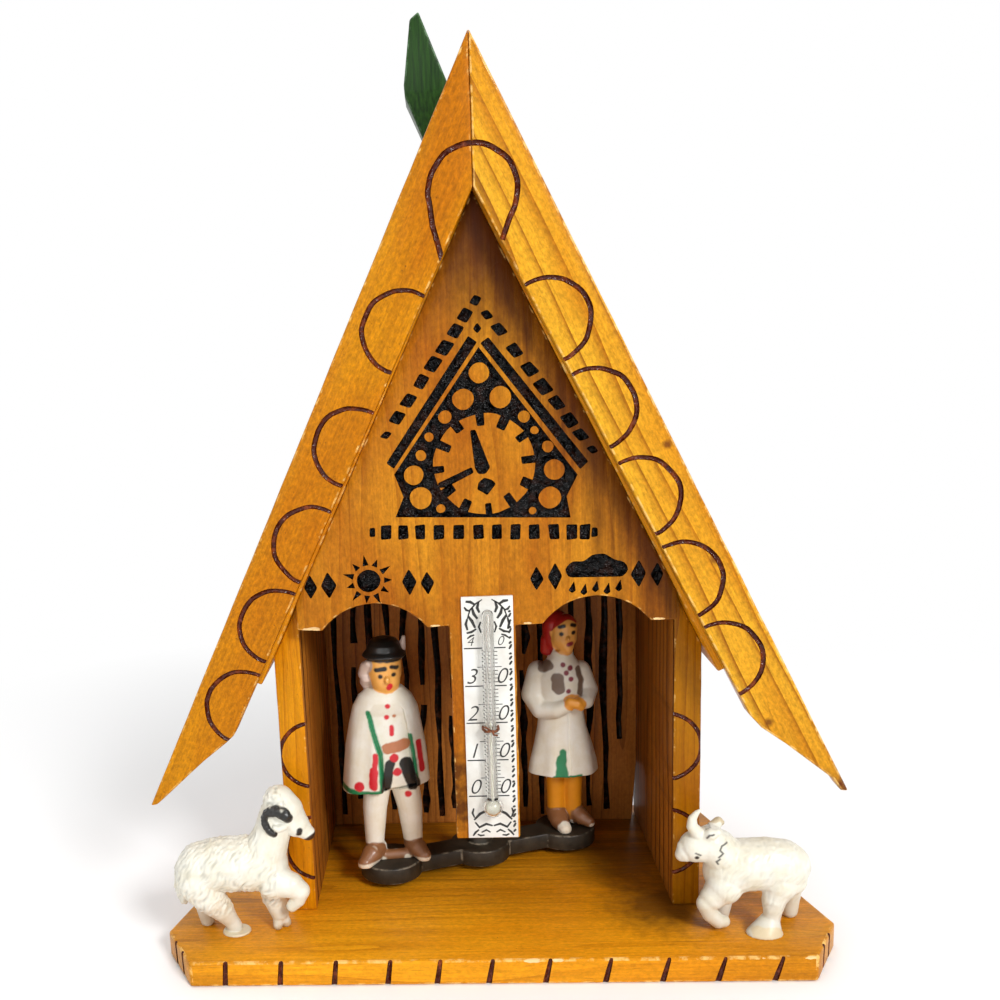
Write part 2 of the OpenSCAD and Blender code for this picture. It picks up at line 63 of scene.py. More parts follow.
class Nodes:
    # adds nodes to one tree; an input that is a socket is linked, a plain value is written in
    def __init__(self, tree):
        self.tree = tree

    def feed(self, node, inputs):
        for name, value in inputs.items():
            if isinstance(value, bpy.types.NodeSocket):
                self.tree.links.new(value, node.inputs[name])
            else:
                node.inputs[name].default_value = value
        return node.outputs

    def add(self, kind, inputs=None, **settings):
        made = self.tree.nodes.new("ShaderNode" + kind)
        for name, value in settings.items():
            setattr(made, name, value)
        return self.feed(made, inputs or {})

    def group(self, effect, inputs):
        return self.add("Group", inputs, node_tree=effect)

    def mix(self, factor, first, second, mode="MIX"):
        return self.add("Mix", {0: factor, 6: first, 7: second}, data_type="RGBA", blend_type=mode)[2]

    def calc(self, operation, first, second):
        return self.add("Math", {0: first, 1: second}, operation=operation)[0]

    def times(self, first, second):
        return self.calc("MULTIPLY", first, second)

    def plus(self, first, second):
        return self.calc("ADD", first, second)

    def vector(self, operation, first, second=(0, 0, 0), output="Vector"):
        return self.add("VectorMath", {0: first, 1: second}, operation=operation)[output]

    def stretch(self, vector, factors):
        return self.vector("MULTIPLY", vector, factors)

    def noise(self, vector, scale, detail=2.0, rough=0.5, output=0):
        inputs = {"Vector": vector, "Scale": scale, "Detail": detail, "Roughness": rough}
        return self.add("TexNoise", inputs)[output]

    def remap(self, value, low, high, toLow=0.0, toHigh=1.0):
        return self.add("MapRange", {"Value": value, "From Min": low, "From Max": high,
                                     "To Min": toLow, "To Max": toHigh})[0]


# shared effects

def newGroup(name, inputs, outputs):
    tree = bpy.data.node_groups.new(name, "ShaderNodeTree")
    for socketName, kind, value in inputs:
        socket = tree.interface.new_socket(socketName, in_out="INPUT", socket_type="NodeSocket" + kind)
        if value is not None:
            socket.default_value = value
    for socketName in outputs:
        tree.interface.new_socket(socketName, in_out="OUTPUT", socket_type="NodeSocketFloat")
    start = tree.nodes.new("NodeGroupInput")
    return Nodes(tree), start.outputs, tree.nodes.new("NodeGroupOutput")


def buildPineGrain():
    # growth lines, fibres, cloudy patches and dark flecks; the grain runs along X, in millimetres
    g, start, end = newGroup(
        "pineGrain",
        [("Vector", "Vector", None), ("Ring Scale", "Float", 0.2), ("Heart", "Vector", (0, 9, 14))],
        ["Lines", "Fibre", "Patches", "Flecks"])
    place = start["Vector"]
    slow = g.stretch(place, (0.09, 1, 1))
    sway = g.vector("SUBTRACT", g.noise(slow, 0.11, 1.0, output=1), (0.5, 0.5, 0.5))
    bent = g.vector("ADD", slow, g.stretch(sway, (0, 11, 11)))
    bent = g.vector("ADD", bent, start["Heart"])
    rings = g.add("TexWave", {"Vector": bent, "Scale": start["Ring Scale"], "Distortion": 1.2, "Detail": 2.0,
                              "Detail Scale": 0.5},
                  wave_type="RINGS", rings_direction="X", wave_profile="SAW")[1]
    flecks = g.noise(g.stretch(place, (0.3, 3.4, 3.4)), 1.0, 1.0)
    g.feed(end, {"Lines": g.calc("POWER", rings, 5.0),
                 "Fibre": g.noise(g.stretch(place, (0.05, 2.6, 2.6)), 1.0, 4.0, 0.6),
                 "Patches": g.noise(g.stretch(place, (0.35, 1, 1)), 0.07, 3.0),
                 "Flecks": g.remap(flecks, 0.64, 0.74)})
    return g.tree


def buildEdgeWear():
    # breaks the wear attribute of a piece into rubbed patches
    g, start, end = newGroup(
        "edgeWear", [("Vector", "Vector", None), ("Wear", "Float", 0.0), ("Amount", "Float", 0.5)], ["Mask"])
    rough = g.noise(start["Vector"], 0.45, 5.0, 0.65)
    wear = g.plus(g.times(start["Wear"], start["Amount"]), rough)
    g.feed(end, {"Mask": g.remap(wear, 0.98, 1.12)})
    return g.tree


def buildDirt():
    # fine specks of dirt caught in the finish
    g, start, end = newGroup("dirtSpecks", [("Vector", "Vector", None), ("Density", "Float", 0.5)], ["Mask"])
    specks = g.add("TexVoronoi", {"Vector": start["Vector"], "Scale": 0.9, "Randomness": 1.0})
    near = g.remap(specks["Distance"], 0.05, 0.16, 1.0, 0.0)
    low = g.calc("SUBTRACT", 1.0, start["Density"])
    cloud = g.remap(g.noise(start["Vector"], 0.12, 3.0), low, 1.0)
    pick = g.calc("GREATER_THAN", specks["Color"], 0.62)
    mask = g.times(g.times(near, pick), cloud)
    g.feed(end, {"Mask": g.times(mask, 2.2)})
    return g.tree


pineGrain = buildPineGrain()
edgeWear = buildEdgeWear()
dirtSpecks = buildDirt()


class Finish(Nodes):
    # a material; values go by the names of the shader's inputs, with _ for a space
    def __init__(self, name, **values):
        self.material = bpy.data.materials.new(name)
        self.material.use_nodes = True
        Nodes.__init__(self, self.material.node_tree)
        self.shader = self.tree.nodes["Principled BSDF"]
        self.show(**values)
        self.coords = self.add("TexCoord")["Object"]
        self.plain = self.inMillimetres()

    def show(self, **values):
        self.feed(self.shader, {name.replace("_", " "): value for name, value in values.items()})

    def inMillimetres(self, turn=(0, 0, 0)):
        turn = [math.radians(a) for a in turn]
        return self.add("Mapping", {"Vector": self.coords, "Rotation": turn, "Scale": (1000, 1000, 1000)})[0]

    def bump(self, height, strength, distance):
        made = self.add("Bump", {"Height": height, "Strength": strength, "Distance": distance * mm})[0]
        self.show(Normal=made)
        return made

    def dirt(self, density):
        return self.group(dirtSpecks, {"Vector": self.plain, "Density": density})["Mask"]

    def worn(self, amount, place):
        rubbed = self.add("Attribute", attribute_name="wear")["Fac"]
        return self.group(edgeWear, {"Vector": place, "Wear": rubbed, "Amount": amount})["Mask"]


# finishes

pineTones = {
    "light": srgb(228, 150, 12),
    "dark": srgb(150, 78, 4),
    "stain": srgb(202, 114, 0),
    "raw": srgb(244, 200, 120),
    "fleck": srgb(120, 62, 14),
    "dirt": srgb(74, 40, 14),
}


def pineFinish(name, turn=(0, 0, 0), lines=0.5, ringScale=0.2, heart=(0, 9, 14), tint=1.0, wear=0.5,
               specks=0.45, gloss=0.26, tones=pineTones, stainsAndShade=(), speckle=0.1, shadeBands=()):
    f = Finish(name, Coat_Weight=0.03, Coat_Roughness=0.08, Specular_IOR_Level=0.1)
    along = f.inMillimetres(turn)
    grain = f.group(pineGrain, {"Vector": along, "Ring Scale": ringScale, "Heart": heart})
    color = f.mix(f.times(grain["Lines"], lines), tones["light"], tones["dark"])
    color = f.mix(f.remap(grain["Patches"], 0.36, 0.66, 0.0, 0.85), color, tones["stain"])
    shade = f.remap(grain["Fibre"], 0.25, 0.75, 0.8 * tint, 1.1 * tint)
    mottle = f.noise(f.stretch(along, (0.6, 1, 1)), 1.5, 5.0, 0.75)
    shade = f.times(shade, f.remap(mottle, 0.3, 0.7, 1 - speckle, 1 + speckle))
    shadeColor = f.add("CombineColor", {0: shade, 1: shade, 2: shade})[0]
    color = f.mix(1.0, color, shadeColor, "MULTIPLY")
    color = f.mix(f.times(grain["Flecks"], 0.3), color, tones["fleck"])
    color = f.mix(f.dirt(specks), color, tones["dirt"])
    # darker blots in the dirt tone: real stains, and painted shade where a piece lies in shade
    for place, radius, strength in stainsAndShade:
        reach = min(radius, 5)
        away = f.vector("DISTANCE", f.plain, place, "Value")
        ragged = f.plus(away, f.remap(f.noise(f.plain, 0.4, 3.0), 0, 1, -reach, reach))
        color = f.mix(f.remap(ragged, radius * 0.3, radius, strength, 0.0), color, tones["dirt"])
    # painted shade: bands in the dirt tone that grow darker towards an edge, streaked along the grain
    for direction, edge, depth, strength in shadeBands:
        level = f.vector("DOT_PRODUCT", f.plain, direction, "Value")
        streak = f.noise(f.stretch(along, (0.06, 1, 1)), 0.4, 4.0, 0.6)
        level = f.plus(level, f.remap(streak, 0.3, 0.7, -0.45 * depth, 0.45 * depth))
        color = f.mix(f.remap(level, edge - depth, edge, 0.0, strength), color, tones["dirt"])
    worn = f.worn(wear, along)
    color = f.mix(f.times(worn, 0.75), color, tones["raw"])
    rough = f.remap(grain["Patches"], 0.3, 0.7, gloss, gloss + 0.14)
    f.show(Base_Color=color, Roughness=f.plus(rough, f.times(worn, 0.3)))
    height = f.plus(f.times(grain["Lines"], -0.5), grain["Fibre"])
    height = f.plus(height, f.times(mottle, 0.8))
    f.bump(f.plus(height, f.times(worn, -0.8)), 0.5, 0.14)
    return f.material


upright = (0, 90, 0)  # turns that lay the grain along the board
leftSlope = (0, -90 - roofAngle, 0)
rightSlope = (0, roofAngle - 90, 0)
paleTones = dict(pineTones, light=srgb(241, 176, 42), stain=srgb(222, 140, 16), dark=srgb(152, 88, 14),
                 dirt=srgb(96, 42, 16))
# the panel's dirt tone also serves as the colour of its painted shade
panelTones = dict(pineTones, dirt=srgb(70, 28, 2), light=srgb(232, 154, 32), stain=srgb(180, 94, 8))
innerTones = dict(pineTones, light=srgb(182, 112, 36), dark=srgb(48, 22, 8), stain=srgb(142, 80, 22))
backTones = dict(pineTones, light=srgb(198, 126, 56), dark=srgb(88, 48, 20), stain=srgb(142, 82, 28),
                 raw=srgb(180, 116, 52))
baseTones = dict(pineTones, light=srgb(226, 152, 24), stain=srgb(206, 128, 12), dirt=srgb(74, 42, 16))
boardFinish = {
    "base": pineFinish(
        "pineBase", lines=0.45, ringScale=0.12, heart=(0, 30, 6), wear=0.5, tint=1.08, speckle=0.2,
        # painted shade: the stains darken the floor by the right wall, with some dirt; the bands darken it
        # towards the left end, the right front and the back
        tones=baseTones, stainsAndShade=(((35, -16, 5.2), 15, 0.8), ((30, 4, 5.2), 16, 0.5)),
        shadeBands=(((-1, 0, 0), 72, 22, 0.4), ((1, -0.4, 0), 82, 40, 0.3), ((0, 1, 0), 27, 34, 0.6))),
    "leftBarge": pineFinish(
        "pineLeftBarge", leftSlope, 0.16, 0.1, (0, 4, 50), 0.73, 0.46, 0.6, speckle=0.36),
    "rightBarge": pineFinish(
        "pineRightBarge", rightSlope, 1.15, 0.085, (0, 40, 0), 0.82, 0.53, 0.4, tones=paleTones, speckle=0.34,
        stainsAndShade=(((68.0, -24.6, 33.4), 5.2, 1.0), ((33.9, -24.7, 101), 1.1, 0.8),
                ((42.8, -24.7, 79.7), 1.2, 0.8), ((53.1, -24.7, 47.4), 1.0, 0.8))),
    "leftWall": pineFinish("pineLeftWall", upright, 0.5, 0.2, (0, 3, 50), 0.88, 0.42),
    # the low tint of 0.5 is painted shadow of the right bargeboard on the right wall
    "shadedRightWall": pineFinish("pineRightWallShaded", upright, 0.7, 0.22, (0, 5, 30), 0.5, 0.42),
    "panel": pineFinish(
        "pinePanel", upright, 0.5, 0.09, (0, 34, 6), 0.73, 0.44, 0.45, tones=panelTones, speckle=0.28,
        # the wide stain under the ridge is painted shade; the two by the tongue are stains
        stainsAndShade=(((-6.9, -19.7, 37), 4.5, 0.8), ((-6.9, -19.7, 29.5), 5, 0.85), ((1, -19.7, 144), 28, 0.78)),
        # painted shadow of the right bargeboard along the right slope, with streaky stain
        shadeBands=(((0.8984, 0, 0.4392), 64.4, 12, 0.85),)),
    "rightRoof": pineFinish("pineRoof", rightSlope, 0.5, 0.16, (0, 20, 30), 0.9, 0.45),
    "leftRoof": pineFinish("pineRoofLeft", leftSlope, 0.5, 0.16, (0, 20, 30), 0.9, 0.45),
    "inner": pineFinish("pineInner", upright, 1.7, 0.07, (0, 200, 3), 0.95, 0.3, gloss=0.4, tones=innerTones),
    "back": pineFinish(
        "pineBack", upright, 0.8, 0.14, (0, 4, 40), 1.0, 0.35, gloss=0.38, tones=backTones, speckle=0.2),
    "rod": pineFinish("pineRod", upright, 0.4, 0.3, (0, 4, 4), 1.0, 0.3, gloss=0.42, tones=backTones),
}


def burntFinish(name, deep, edge, gloss, relief, coat):
    f = Finish(name, Coat_Weight=coat, Coat_Roughness=0.04, Specular_IOR_Level=0.06)
    cloud = f.noise(f.plain, 0.5, 4.0, 0.6)
    f.show(Base_Color=f.mix(f.remap(cloud, 0.5, 0.7), deep, edge),
           Roughness=f.remap(cloud, 0.3, 0.7, gloss, gloss + 0.1))
    ripple = f.times(f.noise(f.plain, 2.2, 2.0), 0.3)
    scorched = f.bump(f.plus(f.noise(f.plain, 0.6, 1.0), ripple), 1.0, relief)
    f.show(Coat_Normal=scorched)  # glints
    return f.material


def greenPaintFinish():
    f = Finish("greenPaint", Coat_Weight=0.06, Coat_Roughness=0.2, Specular_IOR_Level=0.15)
    strokes = f.noise(f.stretch(f.plain, (2.2, 2.2, 0.14)), 1.0, 4.0, 0.6)
    color = f.mix(f.remap(strokes, 0.3, 0.7), srgb(14, 38, 10), srgb(38, 74, 22))
    color = f.mix(f.times(f.worn(0.52, f.plain), 0.7), color, srgb(96, 128, 92))
    f.show(Base_Color=color, Roughness=f.remap(strokes, 0.3, 0.7, 0.3, 0.48))
    f.bump(strokes, 0.4, 0.15)
    return f.material


def greyPlasticFinish():
    f = Finish("greyPlastic", Specular_IOR_Level=0.35)
    cloud = f.noise(f.plain, 0.35, 4.0, 0.6)
    color = f.mix(f.remap(cloud, 0.3, 0.7), srgb(30, 26, 20), srgb(56, 48, 37))
    color = f.mix(f.times(f.worn(0.5, f.plain), 0.5), color, srgb(150, 138, 118))
    color = f.mix(f.times(f.dirt(0.5), 0.6), color, srgb(40, 30, 22))
    f.show(Base_Color=color, Roughness=f.remap(cloud, 0.3, 0.7, 0.4, 0.56))
    f.bump(f.noise(f.plain, 2.5, 3.0), 0.2, 0.1)
    return f.material


def handPaintFinish(name, rough, bumpSize, bumpStrength):
    # the colours come from the piece's own paint attribute
    f = Finish(name, IOR=1.46, Coat_Weight=0.25, Coat_Roughness=0.2)
    cloud = f.noise(f.plain, 0.28, 4.0, 0.6)
    tint = f.mix(f.remap(cloud, 0.35, 0.75), srgb(255, 255, 255), srgb(243, 237, 222))
    color = f.mix(1.0, f.add("Attribute", attribute_name="paint")["Color"], tint, "MULTIPLY")
    color = f.mix(f.times(f.dirt(0.42), 0.5), color, srgb(96, 78, 56))
    f.show(Base_Color=color, Roughness=f.remap(cloud, 0.3, 0.7, rough, rough + 0.15))
    f.bump(f.noise(f.plain, bumpSize, 3.0), bumpStrength, 0.12)
    return f.material


def cardFinish():
    f = Finish("whiteCard", Coat_Weight=0.1, Coat_Roughness=0.3)
    cloud = f.noise(f.plain, 0.18, 4.0, 0.6)
    color = f.mix(f.remap(cloud, 0.4, 0.8), srgb(228, 227, 221), srgb(204, 198, 186))
    color = f.mix(f.times(f.dirt(0.4), 0.4), color, srgb(150, 120, 84))
    f.show(Base_Color=color, Roughness=f.remap(cloud, 0.3, 0.7, 0.42, 0.55))
    f.bump(f.noise(f.plain, 3.0, 2.0), 0.12, 0.05)
    return f.material


def rustFinish():
    f = Finish("rustyWire", IOR=1.5)
    cloud = f.noise(f.plain, 2.4, 4.0, 0.65)
    f.show(Base_Color=f.mix(f.remap(cloud, 0.35, 0.65), srgb(58, 34, 24), srgb(150, 86, 48)),
           Roughness=f.remap(cloud, 0.35, 0.65, 0.45, 0.85), Metallic=f.remap(cloud, 0.35, 0.6, 0.7, 0.0))
    f.bump(cloud, 0.7, 0.1)
    return f.material


def streakyFinish(name, scale, detail, tones=(), rough=(), squeeze=(1, 1, 1), bump=(), **values):
    # one noise mixes two tones and may set the roughness and the bump
    f = Finish(name, **values)
    streaks = f.noise(f.stretch(f.plain, squeeze), scale, detail)
    if tones:
        f.show(Base_Color=f.mix(streaks, *tones))
    if rough:
        f.show(Roughness=f.remap(streaks, 0.3, 0.7, *rough))
    if bump:
        f.bump(streaks, *bump)
    return f.material


burntBrown = burntFinish("burntBrown", srgb(72, 24, 8), srgb(138, 62, 20), 0.08, 0.8, 0.4)
burntBlack = burntFinish("burntBlack", srgb(3, 2, 2), srgb(40, 18, 10), 0.04, 1.7, 0.2)
burntStroke = burntFinish("burntStroke", srgb(14, 8, 5), srgb(70, 36, 16), 0.3, 0.5, 0.05)
rawPine = streakyFinish("rawPine", 1.2, 4.0, (srgb(222, 170, 96), srgb(252, 226, 172)),
                        squeeze=(0.4, 3, 3), bump=(0.8, 0.25), Roughness=0.75)
greenPaint = greenPaintFinish()
greyPlastic = greyPlasticFinish()
figurePaint = handPaintFinish("figurePaint", 0.34, 1.2, 0.15)
animalPaint = handPaintFinish("animalPaint", 0.38, 1.6, 0.3)
whiteCard = cardFinish()
printInk = streakyFinish("printInk", 2.0, 3.0, (srgb(18, 18, 18), srgb(52, 50, 46)), (0.45, 0.6))
tubeGlass = streakyFinish("tubeGlass", 0.5, 3.0, rough=(0.02, 0.09), IOR=1.47, Transmission_Weight=1.0,
                          Base_Color=srgb(252, 252, 250))
paleSpirit = streakyFinish("paleSpirit", 0.8, 3.0, (srgb(250, 248, 236), srgb(240, 236, 214)), (0.05, 0.2),
                           IOR=1.36, Transmission_Weight=0.3)
rustyWire = rustFinish()
driedGut = streakyFinish("driedGut", 2.0, 3.0, (srgb(206, 168, 98), srgb(160, 116, 54)), (0.35, 0.55),
                         (1, 1, 0.2), IOR=1.45, Transmission_Weight=0.2)
print("finishes made:", len(bpy.data.materials))


# helpers for shapes

def meshObject(name, bm, *finishes):
    mesh = bpy.data.meshes.new(name)
    bm.to_mesh(mesh)
    bm.free()
    obj = bpy.data.objects.new(name, mesh)
    scene.collection.objects.link(obj)
    for finish in finishes:
        mesh.materials.append(finish)
    return obj


def bakeModifiers(obj):
    depsgraph = bpy.context.evaluated_depsgraph_get()
    made = bpy.data.meshes.new_from_object(obj.evaluated_get(depsgraph))
    obj.modifiers.clear()
    old = obj.data
    obj.data = made
    bpy.data.meshes.remove(old)


def carve(obj, bm, finish, crossing=False):
    # cuts the shape away; the cut faces take the given finish; crossing shapes may overlap each other
    bmesh.ops.recalc_face_normals(bm, faces=bm.faces)
    cutter = meshObject("cutter", bm, finish)
    cut = obj.modifiers.new("carve", "BOOLEAN")
    cut.operation = "DIFFERENCE"
    cut.solver = "EXACT"
    cut.material_mode = "TRANSFER"
    cut.object = cutter
    cut.use_self = crossing
    bakeModifiers(obj)
    bpy.data.objects.remove(cutter)
    made = bmesh.new()
    made.from_mesh(obj.data)
    inOrder(made)
    made.to_mesh(obj.data)
    made.free()


def settle(obj, body, slot, *nodes, sharp=34):
    obj.data.shade_smooth()
    obj.data.set_sharp_from_angle(angle=math.radians(sharp))
    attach(obj, body)
    if nodes:
        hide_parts(*nodes)
    print("made", obj.name, len(obj.data.polygons), "faces")


def handSawn(points, step=4.0, wobble=0.06):
    # an outline in mm with slightly uneven edges
    out = []
    for a, b in zip(points, points[1:] + points[:1]):
        a, b = Vector(a), Vector(b)
        parts = max(1, round((b - a).length / step))
        for i in range(parts):
            p = a.lerp(b, i / parts)
            if i:
                p = p + noise.noise_vector(p * 0.3) * wobble
            out.append(p)
    return out


def slab(bm, points, lift):
    # a flat outline in mm, raised by the lift
    face = bm.faces.new([bm.verts.new(Vector(p) * mm) for p in points])
    made = bmesh.ops.extrude_face_region(bm, geom=[face])
    top = [g for g in made["geom"] if isinstance(g, bmesh.types.BMVert)]
    bmesh.ops.translate(bm, vec=Vector(lift) * mm, verts=top)


def inOrder(bm):
    # sorts the parts of a mesh by their place
    places = ((bm.verts, lambda v: v.co),
              (bm.edges, lambda e: (e.verts[0].co + e.verts[1].co) / 2),
              (bm.faces, lambda f: f.calc_center_median()))
    for parts, place in places:
        parts.index_update()
        spots = [tuple(round(a, 8) for a in place(part)) for part in parts]
        rank = {i: n for n, i in enumerate(sorted(range(len(spots)), key=lambda i: spots[i]))}
        parts.sort(key=lambda part: rank[part.index])


def roundEdges(bm, width, least=0.35):
    # rounds the sharp edges and marks them for the wear
    bmesh.ops.recalc_face_normals(bm, faces=bm.faces)
    sharp = [e for e in bm.edges if e.calc_face_angle(0) > least]
    made = bmesh.ops.bevel(bm, geom=sharp, offset=width * mm, offset_type="OFFSET", affect="EDGES",
                           segments=2, profile=0.5, material=-1, clamp_overlap=True)
    rounded = set(made["faces"])
    layer = bm.loops.layers.float_color.new("wear")
    for face in bm.faces:
        value = 1.0 if face in rounded else 0.0
        for loop in face.loops:
            loop[layer] = (value, value, value, 1.0)
    inOrder(bm)


def board(name, points, lift, finish, edge=0.45):
    bm = bmesh.new()
    slab(bm, points, lift)
    roundEdges(bm, edge)
    return meshObject(name, bm, finish)


def skinRings(bm, rings):
    # closes a stack of rings into a solid
    count = len(rings[0])
    for a, b in zip(rings, rings[1:]):
        for i in range(count):
            j = (i + 1) % count
            bm.faces.new((a[i], a[j], b[j], b[i]))
    bm.faces.new(rings[0][::-1])
    bm.faces.new(rings[-1])


def tubeAlong(bm, points, radius, sides=8):
    # a closed round bar along points in mm; the radius may change from point to point
    points = [Vector(p) for p in points]
    radii = radius if isinstance(radius, list) else [radius] * len(points)
    rings = []
    across = None
    for i, p in enumerate(points):
        ahead = (points[min(i + 1, len(points) - 1)] - points[max(i - 1, 0)]).normalized()
        if across is None:
            across = ahead.orthogonal()
        across = (across - ahead * across.dot(ahead)).normalized()
        upward = ahead.cross(across)
        ring = []
        for k in range(sides):
            a = 2 * math.pi * k / sides
            ring.append(bm.verts.new((p + (across * math.cos(a) + upward * math.sin(a)) * radii[i]) * mm))
        rings.append(ring)
    skinRings(bm, rings)


def arcPoints(centre, radius, start, stop, count, y, wobble=0.12):
    # points on a front face, angles in degrees counted from +X towards +Z
    out = []
    for i in range(count + 1):
        a = math.radians(start + (stop - start) * i / count)
        p = Vector((centre[0] + radius * math.cos(a), y, centre[1] + radius * math.sin(a)))
        shake = noise.noise_vector(p * 0.35) * wobble
        out.append(p + Vector((shake.x, 0, shake.z)))
    return out


def markFaces(obj, finish, test):
    # gives another finish to the faces that pass the test
    obj.data.materials.append(finish)
    index = len(obj.data.materials) - 1
    for polygon in obj.data.polygons:
        if polygon.material_index == 0 and test(polygon):
            polygon.material_index = index


# camera and light

cameraPlan = {
    "place": (-6.57, -229.745, 119.66),  # mm
    "yaw": -0.0761,
    "pitch": 0.2059,
    "roll": 0.0516,
    "focal": 1105.8,  # in pixels of the picture, which is 1000 wide
    "middle": (366.96, 586.46),  # pixel that the lens axis meets
    "sensor": 36.0,
}


def makeCamera(plan):
    data = bpy.data.cameras.new("camera")
    obj = bpy.data.objects.new("camera", data)
    scene.collection.objects.link(obj)
    yaw, pitch, roll = plan["yaw"], plan["pitch"], plan["roll"]
    ahead = Vector((math.sin(yaw) * math.cos(pitch), math.cos(yaw) * math.cos(pitch), -math.sin(pitch)))
    right = Vector((math.cos(yaw), -math.sin(yaw), 0))
    down = ahead.cross(right)
    level, plumb = right, down
    right = math.cos(roll) * level + math.sin(roll) * plumb
    down = math.cos(roll) * plumb - math.sin(roll) * level
    turn = Matrix((right, -down, -ahead)).transposed().to_4x4()
    obj.matrix_world = Matrix.Translation(Vector(plan["place"]) * mm) @ turn
    data.sensor_width = plan["sensor"]
    data.lens = plan["focal"] * plan["sensor"] / 1000
    data.shift_x = (500 - plan["middle"][0]) / 1000
    data.shift_y = (plan["middle"][1] - 500) / 1000
    data.clip_start = 0.005
    scene.camera = obj


lightPlan = {
    "key": ((800, -1200, 980), 0.4, 21.0),  # place in mm, size in m, power in W
    "fill": ((-700, -1300, 220), 1.2, 6.4),
    "top": ((-100, 100, 1500), 1.0, 10.0),
    "world": 0.36,
}


def directlySeen(nodes):
    # 1 for what the camera, a mirror or glass shows
    path = nodes.add("LightPath")
    seen = nodes.calc("MAXIMUM", path["Is Camera Ray"], path["Is Glossy Ray"])
    return nodes.calc("MAXIMUM", seen, path["Is Transmission Ray"])


def makeLights(plan):
    aim = Vector((0, 0, 80))
    for name in ("key", "fill", "top"):
        place, size, power = plan[name]
        data = bpy.data.lights.new(name, "AREA")
        data.size = size
        data.energy = power
        obj = bpy.data.objects.new(name, data)
        scene.collection.objects.link(obj)
        turn = (Vector(place) - aim).to_track_quat("Z", "Y").to_matrix().to_4x4()
        obj.matrix_world = Matrix.Translation(Vector(place) * mm) @ turn
    world = bpy.data.worlds.new("studio")
    scene.world = world
    world.use_nodes = True
    nodes = Nodes(world.node_tree)
    strength = nodes.remap(directlySeen(nodes), 0.0, 1.0, plan["world"], 1.0)
    nodes.feed(world.node_tree.nodes["Background"], {"Strength": strength, "Color": (1, 1, 1, 1)})


floorPlan = {
    "half": 4.0,  # m
    "drop": 0.0001,  # m under the base
    "fade": (100, 260),  # mm from the middle, where the floor turns white
}


def makeFloor(plan):
    bm = bmesh.new()
    bmesh.ops.create_grid(bm, x_segments=2, y_segments=2, size=plan["half"])
    bmesh.ops.translate(bm, vec=(0, 0, -plan["drop"]), verts=bm.verts)
    f = Finish("paleFloor", Roughness=0.9, Base_Color=(0.93, 0.93, 0.93, 1), Specular_IOR_Level=0.1)
    away = f.vector("LENGTH", f.plain, output="Value")
    fade = f.times(f.remap(away, *plan["fade"]), directlySeen(f))
    white = f.add("Emission", {"Color": (1, 1, 1, 1), "Strength": 1.0})[0]
    mixed = f.add("MixShader", {0: fade, 1: f.shader.outputs[0], 2: white})[0]
    f.feed(f.tree.nodes["Material Output"], {"Surface": mixed})
    meshObject("floor", bm, f.material)


makeCamera(cameraPlan)
makeLights(lightPlan)
makeFloor(floorPlan)
scene.view_settings.view_transform = "Standard"
print("camera, lights and floor set")


# base board

basePlan = {
    "frontWidth": 120.0,
    "backWidth": 104.0,
    "cornerDepth": 12.3,
    "notches": [-53.0, -42.1, -31.4, -20.9, -11.3, -1.3, 9.6, 21.0, 31.8, 42.2, 52.8],
    "notchLean": (4.0, 17.0),  # degrees, at the left and the right end
    "notchRadius": (0.6, 0.5),  # at the foot and half way up
    "cornerNotches": (0.3, 0.62),  # shares of the slanted corner
    "chips": [(6.6, 0.75), (11.3, 0.6), (-3.6, 0.4), (28.4, 0.35), (50.0, 0.4), (58.6, 0.55)],  # x and size
}


def chipOff(obj, place, size):
    # a splinter missing from a front edge
    chip = bmesh.new()
    bmesh.ops.create_icosphere(chip, subdivisions=3, radius=1.0)
    for v in chip.verts:
        v.co *= 1 + 0.35 * noise.noise(v.co * 2.3 + Vector((place[0], 0, 0)))
    bmesh.ops.scale(chip, vec=Vector((2.6, 0.7, 0.9)) * size * mm, verts=chip.verts)
    bmesh.ops.translate(chip, vec=Vector(place) * mm, verts=chip.verts)
    carve(obj, chip, rawPine)


def makeBase(plan):
    low, high = (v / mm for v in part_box("base_board"))
    front, corner = plan["frontWidth"] / 2, low.y + plan["cornerDepth"]
    backHalf = plan["backWidth"] / 2
    outline = [(-front, low.y, 0), (front, low.y, 0), (high.x, corner, 0), (backHalf, high.y, 0),
               (-backHalf, high.y, 0), (low.x, corner, 0)]
    outline = handSawn(outline)
    for p in outline:
        p.x = min(max(p.x, low.x), high.x)
        p.y = min(max(p.y, low.y), high.y)
        p.z = 0
    obj = board("base_board_pine", outline, (0, 0, high.z), boardFinish["base"], 0.5)
    cuts = bmesh.new()
    foot, middle = plan["notchRadius"]
    for i, x in enumerate(plan["notches"]):
        share = i / (len(plan["notches"]) - 1)
        lean = plan["notchLean"][0] + (plan["notchLean"][1] - plan["notchLean"][0]) * share
        slant = math.tan(math.radians(lean)) * high.z / 2
        path = [(x - slant * 1.4, low.y, -1), (x, low.y, high.z / 2), (x + slant * 1.2, low.y, high.z + 0.5)]
        tubeAlong(cuts, path, [foot, middle, 0.5 - 0.2 * share])
    for side in (-1, 1):
        a, b = Vector((side * front, low.y, 0)), Vector((side * high.x, corner, 0))
        for share in plan["cornerNotches"]:
            p = a.lerp(b, share)
            tubeAlong(cuts, [p + Vector((0, 0, -1)), p + Vector((side * 0.5, 0.5, high.z + 1))], 0.6)
    carve(obj, cuts, burntBrown)
    for x, size in plan["chips"]:
        chipOff(obj, (x, low.y - 0.15, high.z - 0.1), size)
    settle(obj, "house", "varnished_pine", "base_board")


makeBase(basePlan)


# walls

wallPlan = {
    "arcs": [39.8, 19.3],  # heights of the burnt arcs
    "arcX": 35.6,
    "arcRadius": 7.0,
    "groove": 0.46,
}


